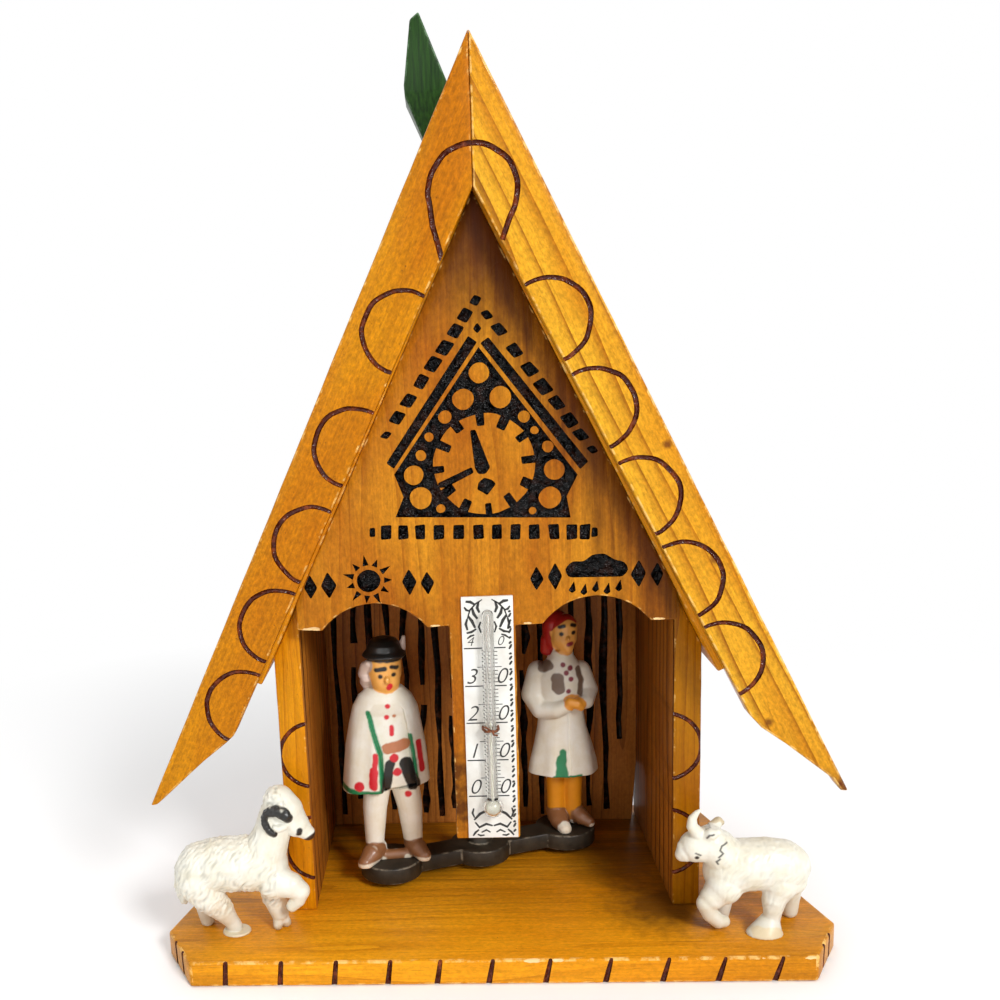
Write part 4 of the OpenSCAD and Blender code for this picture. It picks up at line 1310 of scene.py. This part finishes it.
def mould(name, bm, finish, voxel, passes=2):
    # joins the volumes into one skin
    bmesh.ops.recalc_face_normals(bm, faces=bm.faces)
    obj = meshObject(name, bm, finish)
    remesh = obj.modifiers.new("join", "REMESH")
    remesh.mode = "VOXEL"
    remesh.voxel_size = voxel * mm
    bakeModifiers(obj)
    skin = bmesh.new()
    skin.from_mesh(obj.data)
    for _ in range(passes):
        bmesh.ops.smooth_vert(skin, verts=skin.verts, factor=0.5,
                              use_axis_x=True, use_axis_y=True, use_axis_z=True)
    skin.to_mesh(obj.data)
    skin.free()
    return obj


def paintOn(obj, spot, base, dabs, shade=None):
    # dabs: (paint, radius, depth, points); depth 0 is a brush mark on the front only
    verts = obj.data.vertices
    places = np.empty(len(verts) * 3)
    normals = np.empty(len(verts) * 3)
    verts.foreach_get("co", places)
    verts.foreach_get("normal", normals)
    places = places.reshape(-1, 3) / mm
    front = normals.reshape(-1, 3)[:, 1] < 0.15
    shake = 0.2 * np.array([noise.noise(Vector(p) * 0.9) for p in places])
    value = np.tile(np.array(paints[base]), (len(verts), 1))
    for paint, radius, depth, points in dabs:
        squeeze = np.array((1, depth, 1))
        at = places * squeeze
        path = [np.array(p) * squeeze for p in moved(points, spot)]
        away = np.full(len(verts), 1e9)
        for a, b in zip(path, path[1:] + path[-1:]):
            along = b - a
            size = max(along @ along, 1e-9)
            share = np.clip((at - a) @ along / size, 0, 1)
            away = np.minimum(away, np.linalg.norm(at - a - share[:, None] * along, axis=1))
        share = np.clip((radius - away - shake * min(1.0, radius)) / 0.24 + 0.5, 0, 1)
        if depth == 0:
            share = share * front
        value += (np.array(paints[paint]) - value) * share[:, None]
    if shade is not None:
        value[:, :3] *= shade[:, None]
    layer = obj.data.attributes.new("paint", "FLOAT_COLOR", "POINT")
    layer.data.foreach_set("color", value.ravel())


def between(z, table):
    # a value read from (height, value) pairs, heights falling
    for (z0, v0), (z1, v1) in zip(table, table[1:]):
        if z >= z1:
            return v0 if z > z0 else v1 + (v0 - v1) * (z - z1) / (z0 - z1)
    return table[-1][1]


paints = {
    "white": srgb(233, 229, 217),
    "face": srgb(240, 174, 86),
    "black": srgb(26, 25, 23),
    "red": srgb(208, 26, 44),
    "green": srgb(24, 126, 80),
    "belt": srgb(186, 118, 80),
    "shoe": srgb(138, 92, 58),
    "hair": srgb(208, 186, 174),
    "braid": srgb(118, 98, 84),
    # a red scarf, darkened a little as painted shade from the arch above
    "scarf": srgb(178, 32, 28),
    "bead": srgb(132, 36, 52),
    "hand": srgb(234, 158, 56),
    "stocking": srgb(226, 146, 26),
    "wool": srgb(231, 229, 217),
    "hoof": srgb(206, 192, 164),
    "pad": srgb(232, 218, 186),
    "nose": srgb(48, 26, 20),
    "toe": srgb(232, 222, 206),
}

plateTop = 10.3
manSpot = Vector((-21.68, -1.42, plateTop))
womanSpot = Vector((18.28, 13.92, plateTop))


def moved(points, spot):
    return [tuple(Vector(p[:3]) + spot) + tuple(p[3:]) for p in points]


manPlan = {
    "cape": [(16.9, -0.5, 0.6, 9.6, 5.5), (20, -0.4, 0.6, 9.3, 5.7), (26, -0.2, 0.7, 8.7, 5.5),
             (31, 0, 0.8, 7.9, 5.1), (35.0, 0.2, 0.7, 7.1, 4.5), (37.6, 0.3, 0.5, 5.8, 3.9),
             (39.5, 0.5, 0.1, 3.7, 3.2)],
    "hat": [(46.3, 0.6, 0, 4.4, 4.4), (46.7, 0.6, 0, 4.8, 4.8), (47.2, 0.6, 0, 4.4, 4.4),
            (47.6, 0.6, 0, 3.9, 3.9), (48.9, 0.6, 0.1, 3.6, 3.6), (49.9, 0.6, 0.2, 2.8, 2.8),
            (50.4, 0.6, 0.2, 1.5, 1.5)],
    "hair": [(-2.7, -1.6, 45.0, 1.0), (-3.4, -0.6, 44.0, 1.35), (-3.9, 0.0, 42.4, 1.35),
             (-3.5, -0.8, 41.6, 1.1), (-3.6, 0.6, 40.6, 1.4), (-2.9, 1.2, 39.2, 1.4)],
    "head": [
        [(0.5, -0.2, 42.8, 3.7), (0.6, -0.3, 45.0, 3.7)],
        [(0.7, -0.8, 41.2, 3.2), (0.9, -1.4, 40.4, 2.3)],
        [(0, 2.0, 43.0, 2.6), (0.2, 1.8, 39.8, 2.4)],
    ],
    "nose": ((1.3, -4.25, 42.0), (0.6, 0.8, 0.9)),  # place and half sizes
    "feather": [(4.3, 0.4, 46.4, 0.8), (4.6, 0.4, 48.4, 0.75), (4.9, 0.4, 50.2, 0.45)],
    "legs": [
        [(-1.9, -0.2, 20, 3.3), (-3.0, -0.2, 12, 2.7), (-3.4, -0.2, 4, 2.1)],
        [(3.2, 0, 20, 3.3), (4.6, 0.8, 12, 2.8), (5.0, 1.6, 4, 2.2)],
    ],
    "shoes": [
        [(-3.0, 0.2, 2.2, 2.2), (-4.0, -2.4, 1.8, 2.3), (-5.4, -4.6, 0.7, 1.7)],
        [(4.8, 1.9, 2.4, 2.0), (6.0, 0, 1.9, 2.1), (7.4, -1.7, 0.9, 1.6)],
        [(-2.0, -0.6, 0.5, 1.3), (4.0, 0.2, 0.5, 1.3)],
    ],
    "openingLeft": [(36.5, -2.2), (34, -3.6), (28, -1.9), (25, -0.95), (16, -0.85)],
    "openingRight": [(36.5, 3.4), (35, 4.5), (29, 5.5), (16, 6.8)],
    "chestTop": 36.5,  # where the cape begins to open
    "reach": 25.45,  # how far back the cape may go at the end of the swing
    "swing": 54,  # degrees from rest to that end
}
swingEnd = Vector((math.sin(math.radians(manPlan["swing"])), math.cos(math.radians(manPlan["swing"])), 0))


def makeMan(spot, plan):
    bm = bmesh.new()
    for part in ("cape", "hat"):
        column(bm, [(z + spot.z, x + spot.x, y + spot.y, a, b) for z, x, y, a, b in plan[part]])
    for balls in (*plan["head"], plan["hair"]):
        limb(bm, moved(balls, spot))
    ball(bm, Vector(plan["nose"][0]) + spot, plan["nose"][1])
    for balls in (plan["feather"], *plan["legs"], *plan["shoes"]):
        limb(bm, moved(balls, spot))
    obj = mould("man_moulded", bm, figurePaint, 0.2)
    for v in obj.data.vertices:
        p = v.co / mm - spot
        side = between(p.z, plan["openingLeft"]), between(p.z, plan["openingRight"])
        inside = min(p.x - side[0], side[1] - p.x)
        below = plan["chestTop"] - p.z
        if 16.6 < p.z and below > 0 and p.y < 1 and inside > 0:
            p.y += min(1.0, inside / 0.35) * min(1.0, below / 3) * (0.9 + below / 14)
        if 16.4 < p.z < 34 and inside < -0.4:
            a = math.atan2(p.y, p.x)
            swing = 0.028 * math.sin(a * 9 + 0.8) * min(1, (34 - p.z) / 8)
            p.x *= 1 + swing
            p.y *= 1 + swing
        # the hem is lower on the left
        p.z += 0.1 * p.x * max(0.0, min(1.0, (27 - p.z) / 9, (p.z - 12) / 4))
        p.z = max(p.z, 0.0)
        p += spot
        # room for the back wall at the end of the swing
        over = max(0.0, p.y * swingEnd.y - p.x * swingEnd.x - plan["reach"])
        v.co = (p + Vector((swingEnd.x, -swingEnd.y, 0)) * over) * mm
    paintMan(obj, spot)
    settle(obj, "swing", "white_plastic", "man_figure", sharp=80)


def paintMan(obj, spot):
    dabs = [
        ("face", 4.2, 1, [(0.8, -2.0, 42.7), (0.8, -2.0, 43.6)]),
        ("hair", 1.75, 1, [q[:3] for q in manPlan["hair"]]),
        ("hair", 3.0, 1, [(0, 3.4, 43), (0.2, 3.2, 39.6)]),
        ("black", 11.0, 1, [(0.6, 0.1, 56.0)]),
        ("hair", 1.1, 1, [(4.9, 0.4, 48.4), (5.0, 0.4, 50.4)]),
        ("green", 0.5, 0, [(-3.3, 0, 34.6), (-1.9, 0, 28.4), (-0.95, 0, 25.2), (-0.9, 0, 17.0)]),
        ("green", 0.5, 0, [(5.5, 0, 29.2), (6.2, 0, 23.4), (6.7, 0, 17.4)]),
        ("green", 0.65, 0, [(-9.8, 0, 17.2), (-6, 0, 16.5), (-1.2, 0, 16.8)]),
        ("red", 0.6, 0, [(-2.0, 0, 25.4), (-2.3, 0, 22.4)]),
        ("red", 0.95, 0, [(-2.5, 0, 22.0), (-2.8, 0, 18.4)]),
        ("red", 1.15, 0, [(-5.9, 0, 18.2)]),
        ("red", 0.55, 0, [(7.2, 0, 27.4), (7.8, 0, 21.0)]),
        ("red", 0.6, 0, [(1.0, 0, 36.0)]),
        ("red", 0.55, 0, [(0.7, 0, 33.4)]),
        ("belt", 0.4, 0, [(2.3, 0, 33.6)]),
        ("red", 0.5, 0, [(1.6, 0, 31.2), (1.6, 0, 29.6)]),
        ("belt", 1.25, 0, [(0.6, 0, 26.3), (2.2, 0, 26.6), (4.2, 0, 27.2)]),
        ("black", 1.0, 0, [(1.0, 0, 22.9), (0.3, 0, 20.0), (-0.1, 0, 17.4)]),
        ("black", 1.5, 0, [(4.4, 0, 22.6), (5.3, 0, 19.6), (5.8, 0, 17.9)]),
        ("red", 1.0, 0, [(1.9, 0, 24.2)]),
        ("red", 0.95, 0, [(2.4, 0, 20.9)]),
        ("red", 0.8, 0, [(4.6, 0, 15.7)]),
        ("shoe", 2.6, 1, [(-3.4, -1.2, 1.9), (-5.2, -4.4, 1.2)]),
        ("shoe", 2.6, 1, [(5.0, 1.2, 2.0), (7.2, -1.4, 1.4)]),
        ("shoe", 1.5, 1, [(-0.8, -1, 0.6), (2.4, -0.6, 0.6)]),
        ("toe", 0.8, 1, [(-6.4, -1.4, 0.2), (-7.2, -4.6, 0.2), (-5.4, -6.5, 0.2),
                         (-3.0, -4.9, 0.2), (-1.4, -2.4, 0.2)]),
        ("toe", 0.8, 1, [(3.8, -1.4, 0.2), (5.6, -2.8, 0.2), (7.8, -3.4, 0.2), (9.1, -1.6, 0.2),
                         (8.2, 0.8, 0.2)]),
        ("black", 0.5, 0, [(-1.0, 0, 44.1), (0.8, 0, 44.4)]),
        ("black", 0.46, 0, [(2.3, 0, 44.7), (3.3, 0, 44.4)]),
        ("black", 0.5, 0, [(-0.2, 0, 42.7)]),
        ("black", 0.5, 0, [(2.6, 0, 42.9)]),
        ("red", 0.6, 0, [(1.5, 0, 40.2), (1.8, 0, 40.6)]),
    ]
    paintOn(obj, spot, "white", dabs)


womanPlan = {
    "coat": [(13.4, -0.2, 0.2, 8.0, 5.4), (16, -0.2, 0.2, 7.6, 5.1), (20, -0.2, 0.2, 6.6, 4.6),
             (24, -0.4, 0.1, 5.6, 4.0), (27.4, -0.5, 0, 5.1, 3.6), (32, -0.6, 0, 5.4, 3.9),
             (36.4, -0.6, 0.1, 5.8, 3.8), (39.0, -0.4, 0, 4.2, 3.1), (41.0, -0.2, -0.2, 2.7, 2.6),
             (42.4, -0.1, -0.3, 2.4, 2.4)],
    "leftSleeve": [(-5.4, 0.4, 37, 2.6), (-6.6, 0.2, 31.8, 2.8), (-5.2, -1.8, 28.9, 2.3),
                   (-2.0, -3.6, 29.1, 1.9), (0.6, -4.4, 30.3, 1.5)],
    "rightSleeve": [(4.0, 0.4, 37, 2.4), (5.4, 0.2, 32.6, 2.5), (4.8, -2.4, 30.8, 1.9),
                    (3.4, -3.8, 30.7, 1.5)],
    "hands": [(1.0, -4.9, 31.2, 1.2), (2.6, -5.0, 30.8, 1.2), (3.4, -4.8, 30.0, 0.9)],
    "head": [
        [(0.2, -0.9, 45.4, 3.0), (0.3, -0.7, 47.6, 3.1)],
        [(0.6, -1.7, 43.9, 1.9), (0.8, -1.9, 43.4, 1.6)],
        [(-1.4, 0.8, 44.6, 2.9), (-1.2, 0.6, 48.0, 3.2)],
        [(-3.2, 0.6, 44.4, 1.6), (-3.6, 1.0, 42.0, 1.3)],
    ],
    "nose": ((0.9, -4.0, 45.5), (0.45, 0.6, 0.65)),
    "legs": [
        [(-1.9, 0.2, 14.4, 2.4), (-1.9, 0.4, 7, 2.1), (-2.0, 0.4, 2, 2.0)],
        [(1.9, 0.2, 14.4, 2.4), (1.9, 0.4, 7, 2.1), (2.0, 0.4, 2, 1.9)],
    ],
    "shoes": [
        [(-2.0, 0.6, 3.2, 2.2), (-1.5, -1.8, 1.8, 2.1), (-0.4, -4.3, 0.8, 1.5)],
        [(2.0, 0.8, 3.6, 2.0), (3.7, -0.9, 2.2, 1.9), (5.4, -2.2, 1.4, 1.3)],
    ],
}


def makeWoman(spot, plan):
    bm = bmesh.new()
    column(bm, [(z + spot.z, x + spot.x, y + spot.y, a, b) for z, x, y, a, b in plan["coat"]])
    for balls in (plan["leftSleeve"], plan["rightSleeve"], plan["hands"], *plan["head"]):
        limb(bm, moved(balls, spot))
    ball(bm, Vector(plan["nose"][0]) + spot, plan["nose"][1])
    for balls in (*plan["legs"], *plan["shoes"]):
        limb(bm, moved(balls, spot))
    obj = mould("woman_moulded", bm, figurePaint, 0.2)
    for v in obj.data.vertices:
        p = v.co / mm - spot
        if 13 < p.z < 26:
            a = math.atan2(p.y, p.x)
            swing = 0.026 * math.sin(a * 8) * min(1, (26 - p.z) / 8)
            p.x *= 1 + swing
            p.y *= 1 + swing
        if 13 < p.z < 28 and p.y < 0 and -0.25 < p.x - 0.9 < 0.25:
            p.y += 0.3
        p.z = max(p.z, 0.0)
        v.co = (p + spot) * mm
    paintWoman(obj, spot)
    settle(obj, "swing", "white_plastic", "woman_figure", sharp=80)


def paintWoman(obj, spot):
    dabs = [
        ("face", 3.9, 1, [(0.8, -2.4, 45.4), (0.8, -2.2, 46.6)]),
        ("scarf", 2.9, 1, [(-4.0, 0.6, 43.6), (-3.8, 0.8, 47.6), (0, 3.2, 46), (-2.0, 1.0, 50.6)]),
        ("scarf", 1.3, 1, [(-2.9, -1.5, 48.2), (-1.6, -2.6, 49.6), (0.8, -2.2, 50.9), (2.6, -1.0, 49.8)]),
        ("braid", 1.1, 0, [(-4.6, 0, 38.6), (-3.4, 0, 39.2)]),
        ("braid", 1.45, 0, [(-1.5, 0, 36.2), (-1.3, 0, 34.2)]),
        ("braid", 0.65, 0, [(3.1, 0, 38.2), (3.8, 0, 35.6), (3.5, 0, 32.8)]),
        ("bead", 0.6, 0, [(-0.2, 0, 39.4)]),
        ("bead", 0.6, 0, [(1.4, 0, 38.6)]),
        ("bead", 0.55, 0, [(0.5, 0, 37.6)]),
        ("bead", 0.55, 0, [(1.5, 0, 36.2)]),
        ("bead", 0.55, 0, [(0.9, 0, 33.4)]),
        ("hand", 1.7, 0, [(1.4, 0, 31.1), (3.0, 0, 30.5)]),
        ("green", 0.8, 0, [(-0.6, 0, 19.2), (-0.9, 0, 14.0)]),
        ("green", 1.1, 0, [(-1.1, 0, 17.6), (-1.3, 0, 13.8)]),
        ("green", 0.9, 0, [(-0.8, 0, 16.0), (-0.4, 0, 13.8)]),
        ("green", 0.35, 0, [(-2.6, 0, 13.5), (3.4, 0, 13.6)]),
        ("stocking", 4.6, 1, [(0, 0.2, 9.8), (0, 1.0, 5.4)]),
        ("shoe", 2.6, 1, [(-2.0, 0.4, 2.8), (-1.3, -2.0, 1.6)]),
        ("shoe", 2.4, 1, [(2.4, 0.6, 3.0), (4.9, -1.7, 1.8)]),
        ("toe", 1.4, 1, [(-0.4, -5.2, 0.6)]),
        ("toe", 0.6, 1, [(5.8, -3.2, 0.9), (6.6, -1.8, 0.9)]),
        ("black", 0.5, 0, [(-0.5, 0, 46.7)]),
        ("black", 0.5, 0, [(2.2, 0, 46.8)]),
        ("black", 0.4, 0, [(-0.9, 0, 48.2), (0.1, 0, 48.5)]),
        ("black", 0.4, 0, [(1.9, 0, 48.6), (2.6, 0, 48.3)]),
        ("bead", 0.55, 0, [(1.1, 0, 44.2), (1.6, 0, 44.3)]),
    ]
    paintOn(obj, spot, "white", dabs)


makeMan(manSpot, manPlan)
makeWoman(womanSpot, womanPlan)


# animals

def woolly(obj, spot, test, amount, floor, curls=None):
    # short strands that hang down and back, and curls; gives the painted shade, darker in the gaps between
    # them and towards the feet
    normals = [v.normal.copy() for v in obj.data.vertices]
    shade = np.ones(len(normals))
    for i, (v, out) in enumerate(zip(obj.data.vertices, normals)):
        p = v.co / mm - spot
        strand = 0.0
        if test(p):
            down, over = -0.85 * p.z - 0.5 * p.x, 0.5 * p.z - 0.85 * p.x
            over += 0.18 * math.sin(down * 1.7)
            strand = noise.noise(Vector((down * 0.55, p.y * 1.3, over * 1.75)))
            strand += 0.4 * noise.noise(Vector((down * 0.3, p.y * 0.5, over * 0.5)))
        elif curls and curls(p):
            strand = 1.3 * noise.noise(p * 1.15)
        v.co += out * mm * amount * strand
        gap = 1 - max(0.0, -strand - 0.05) * amount * 1.8
        shade[i] = gap * (1 - 0.14 * max(0.0, 1 - p.z / 9))
        v.co.z = max(v.co.z, floor * mm)
    return shade


ramPlan = {
    "place": (-51.4, -24.75),
    "body": [(-7.2, 0, 14.6, 5.3), (-3.6, 0, 15.2, 5.5), (1.6, 0, 15.4, 5.6), (5.2, 0, 15.0, 5.2)],
    "neck": [(5.6, 0, 17.2, 4.6), (7.4, 0, 21.4, 3.8), (8.6, 0, 25.6, 3.4)],
    "head": [(9.4, 0, 28.6, 3.2), (10.7, 0, 26.4, 3.5), (12.6, 0, 23.6, 2.6), (14.8, 0, 21.6, 1.5)],
    "haunch": [(-8.0, -1.4, 12.6, 4.4), (-6.0, -1.6, 9.0, 3.4), (-3.8, -0.6, 5.6, 2.4),
               (-2.3, 0.4, 2.6, 1.6), (-1.7, 0.6, 1.2, 1.6)],
    "farHind": [(-8.6, 2.6, 11, 3.4), (-8.4, 3.4, 6.0, 2.1), (-8.2, 3.8, 2.2, 1.6)],
    "farFore": [(7.0, 1.8, 11.6, 3.6), (6.8, 2.0, 7.0, 2.6), (7.6, 2.0, 3.4, 1.9)],
    "nearFore": [(7.6, -1.6, 12.2, 3.6), (11.0, -2.2, 11.5, 2.6), (12.8, -2.2, 10.2, 2.0),
                 (12.3, -2.2, 8.3, 1.5), (11.0, -2.2, 7.0, 1.25)],
    "ear": [(10.6, 3.0, 24.4, 0.8), (9.6, 3.7, 24.2, 0.75), (8.9, 3.9, 24.6, 0.5)],
    "disc": [(0, -1.2, 0.5, 3.0, 2.7), (0.5, -1.2, 0.5, 2.8, 2.5)],
    "tail": [(-11.4, 0, 14.6, 1.6), (-12.0, 0, 10.6, 1.3), (-11.6, 0, 7.4, 0.9)],
    "horn": [(11.6, -3.4, 26.2, 0.8), (10.8, -3.6, 27.3, 1.15), (9.2, -3.6, 28.0, 1.05),
             (7.5, -3.4, 27.7, 0.8), (6.8, -3.4, 26.4, 0.6), (6.9, -3.5, 24.9, 0.65),
             (7.9, -3.6, 23.5, 0.6), (8.7, -3.6, 23.0, 0.4)],
}


def onFleece(p):
    return p.x < 8.6 and 5.5 < p.z < 24 and not (p.x > 5 and p.z > 18.5)


def onCrown(p):
    return p.z > 26.5 and p.x < 12.4 - 0.5 * (p.z - 26.5)


def makeRam(plan):
    bm = bmesh.new()
    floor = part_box("ram_figure")[0].z / mm
    spot = Vector((*plan["place"], floor))
    for part in ("body", "neck", "head", "haunch", "farHind", "farFore", "nearFore", "tail"):
        limb(bm, moved(plan[part], spot))
    for toe in ((7.2, 1.2, 0.9), (8.8, 2.4, 0.9)):  # cloven foot
        limb(bm, moved([(7.6, 2.0, 3.2, 1.5), (*toe, 1.0)], spot))
    limb(bm, moved([(-8.2, 3.8, 2.4, 1.6), (-8.0, 3.8, 1.0, 1.5)], spot))
    for side in (-1, 1):
        limb(bm, moved([(x, side * abs(y), z, r) for x, y, z, r in ridged(plan["horn"])], spot))
        limb(bm, moved([(x, side * y, z, r) for x, y, z, r in plan["ear"]], spot))
    column(bm, [(floor + z, spot.x + x, spot.y + y, a, b) for z, x, y, a, b in plan["disc"]])
    obj = mould("ram_moulded", bm, animalPaint, 0.17)
    shade = woolly(obj, spot, onFleece, 0.24, floor, onCrown)
    dabs = []
    for side in (-1, 1):
        for x, y, z, r in plan["horn"]:
            dabs.append(("black", r + 0.2, 1, [(x, side * (abs(y) + 0.3), z)]))
        for a, b in zip(plan["horn"], plan["horn"][1:]):
            ends = [(a[0], side * 3.8, a[2]), (b[0], side * 3.8, b[2])]
            dabs.append(("black", (a[3] + b[3]) / 2 + 0.15, 1, ends))
        dabs.append(("black", 0.55, 0.5, [(13.3, side * 2.0, 22.4), (13.5, side * 2.0, 23.2)]))
    dabs.append(("nose", 1.15, 1, [(16.0, 0, 20.9), (15.3, 0, 20.2)]))
    dabs.append(("nose", 0.75, 0, [(14.7, 0, 20.2), (16.0, 0, 21.2)]))
    dabs.append(("hoof", 1.3, 1, [(7.4, 1.4, 0.4), (8.8, 2.4, 0.4)]))
    dabs.append(("pad", 0.35, 0.1, [(-4.4, 0.5, 0.3), (2.0, 0.5, 0.3)]))
    dabs.append(("nose", 0.6, 1, [(10.6, -2.3, 6.0)]))
    paintOn(obj, spot, "wool", dabs, shade)
    settle(obj, "house", "white_plastic", "ram_figure", sharp=80)


def ridged(balls, steps=4):
    # a horn with rings round it
    out = []
    for a, b in zip(balls, balls[1:]):
        for k in range(steps):
            share = k / steps
            here = [p + (q - p) * share for p, q in zip(a, b)]
            here[3] *= 1.0 + (0.12 if k % 2 else -0.12)
            out.append(tuple(here))
    return out + [balls[-1]]


goatPlan = {
    "place": (51.0, -23.75),
    "body": [(5.4, 0, 12.6, 5.0), (2.4, 0, 12.9, 5.1), (-2.2, 0, 12.7, 5.2), (-4.8, 0, 11.4, 4.9)],
    "neck": [(-4.6, 0, 13.4, 4.4), (-7.0, -0.3, 16.4, 3.8)],
    "head": [(-8.4, -0.4, 17.4, 3.7), (-11.4, -0.5, 17.0, 3.1), (-13.2, -0.7, 15.9, 1.9),
             (-13.9, -0.7, 15.4, 1.4)],
    "brow": [(-10.8, -0.5, 18.4, 2.4), (-13.3, -0.6, 16.9, 1.6)],
    "horn": [(-11.0, -1.6, 20.0, 1.35), (-12.3, -1.9, 21.8, 1.1), (-12.3, -2, 23.4, 0.85),
             (-11.5, -2, 24.6, 0.55), (-10.8, -2, 25.2, 0.3)],
    "ear": [(-9.6, -2.0, 19.6, 1.2), (-8.8, -2.9, 20.6, 1.15), (-7.8, -3.2, 21.0, 0.8)],
    "farEar": [(-7.6, 1.2, 20.0, 1.3), (-6.4, 1.9, 21.0, 1.0), (-5.8, 2.0, 20.8, 0.6)],
    "nearFore": [(-6.0, -1.8, 9.2, 3.6), (-8.4, -2.4, 7.0, 2.4), (-9.6, -2.6, 5.8, 1.9),
                 (-8.8, -2.6, 3.6, 1.6), (-7.2, -2.4, 2.0, 1.5), (-6.0, -2.2, 1.8, 1.2)],
    "farFore": [(-5.4, 2.2, 8, 3), (-5.2, 2.4, 3.6, 1.9), (-5.4, 2.4, 0.8, 1.5)],
    "nearHind": [(4.6, -1.8, 9.4, 3.4), (3.4, -2.6, 6.4, 2.3), (3.0, -3.0, 3.4, 1.7),
                 (2.6, -3.2, 1.0, 1.6)],
    "farHind": [(7.6, 2.2, 8.4, 3), (8.2, 2.8, 3.6, 1.8), (8.2, 3, 1.2, 1.6)],
    "rump": [(6.4, 0, 12.4, 4.5), (6.8, 0, 9.8, 3.6)],
    "disc": [(0, 1.4, -3.8, 3.6, 2.8), (0.6, 1.4, -3.8, 3.3, 2.5), (3.2, 2.6, -3.1, 1.7, 1.6)],
}


def makeGoat(plan):
    bm = bmesh.new()
    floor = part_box("goat_figure")[0].z / mm
    spot = Vector((*plan["place"], floor))
    for part, balls in plan.items():
        if part not in ("place", "disc"):
            limb(bm, moved(balls, spot))
    column(bm, [(floor + z, spot.x + x, spot.y + y, a, b) for z, x, y, a, b in plan["disc"]])
    obj = mould("goat_moulded", bm, animalPaint, 0.18)
    shade = woolly(obj, spot, lambda p: p.z > 4 and p.x > -7, 0.1, floor)
    dabs = [
        ("black", 0.42, 0, [(-11.6, 0, 15.9)]),
        ("black", 0.16, 0, [(-11.9, 0, 16.9), (-11.0, 0, 16.5)]),
        ("black", 0.16, 0, [(-5.9, 0, 18.8), (-7.0, 0, 18.4), (-7.4, 0, 17.6), (-6.8, 0, 17.0),
                            (-7.6, 0, 16.2)]),
        ("black", 0.16, 0, [(-7.4, 0, 15.8), (-8.0, 0, 15.2), (-7.7, 0, 14.7)]),
        ("black", 0.16, 0, [(-9.8, 0, 20.0), (-9.4, 0, 20.7), (-8.6, 0, 20.9)]),
        ("pad", 1.6, 0.5, [(0.2, -4.6, 0.4), (3.0, -4.6, 0.4)]),
        ("hoof", 0.9, 1, [(-7.2, 1.6, 21.4), (-5.6, 2.0, 21.0)]),
    ]
    paintOn(obj, spot, "wool", dabs, shade)
    settle(obj, "house", "white_plastic", "goat_figure", sharp=80)


makeRam(ramPlan)
makeGoat(goatPlan)
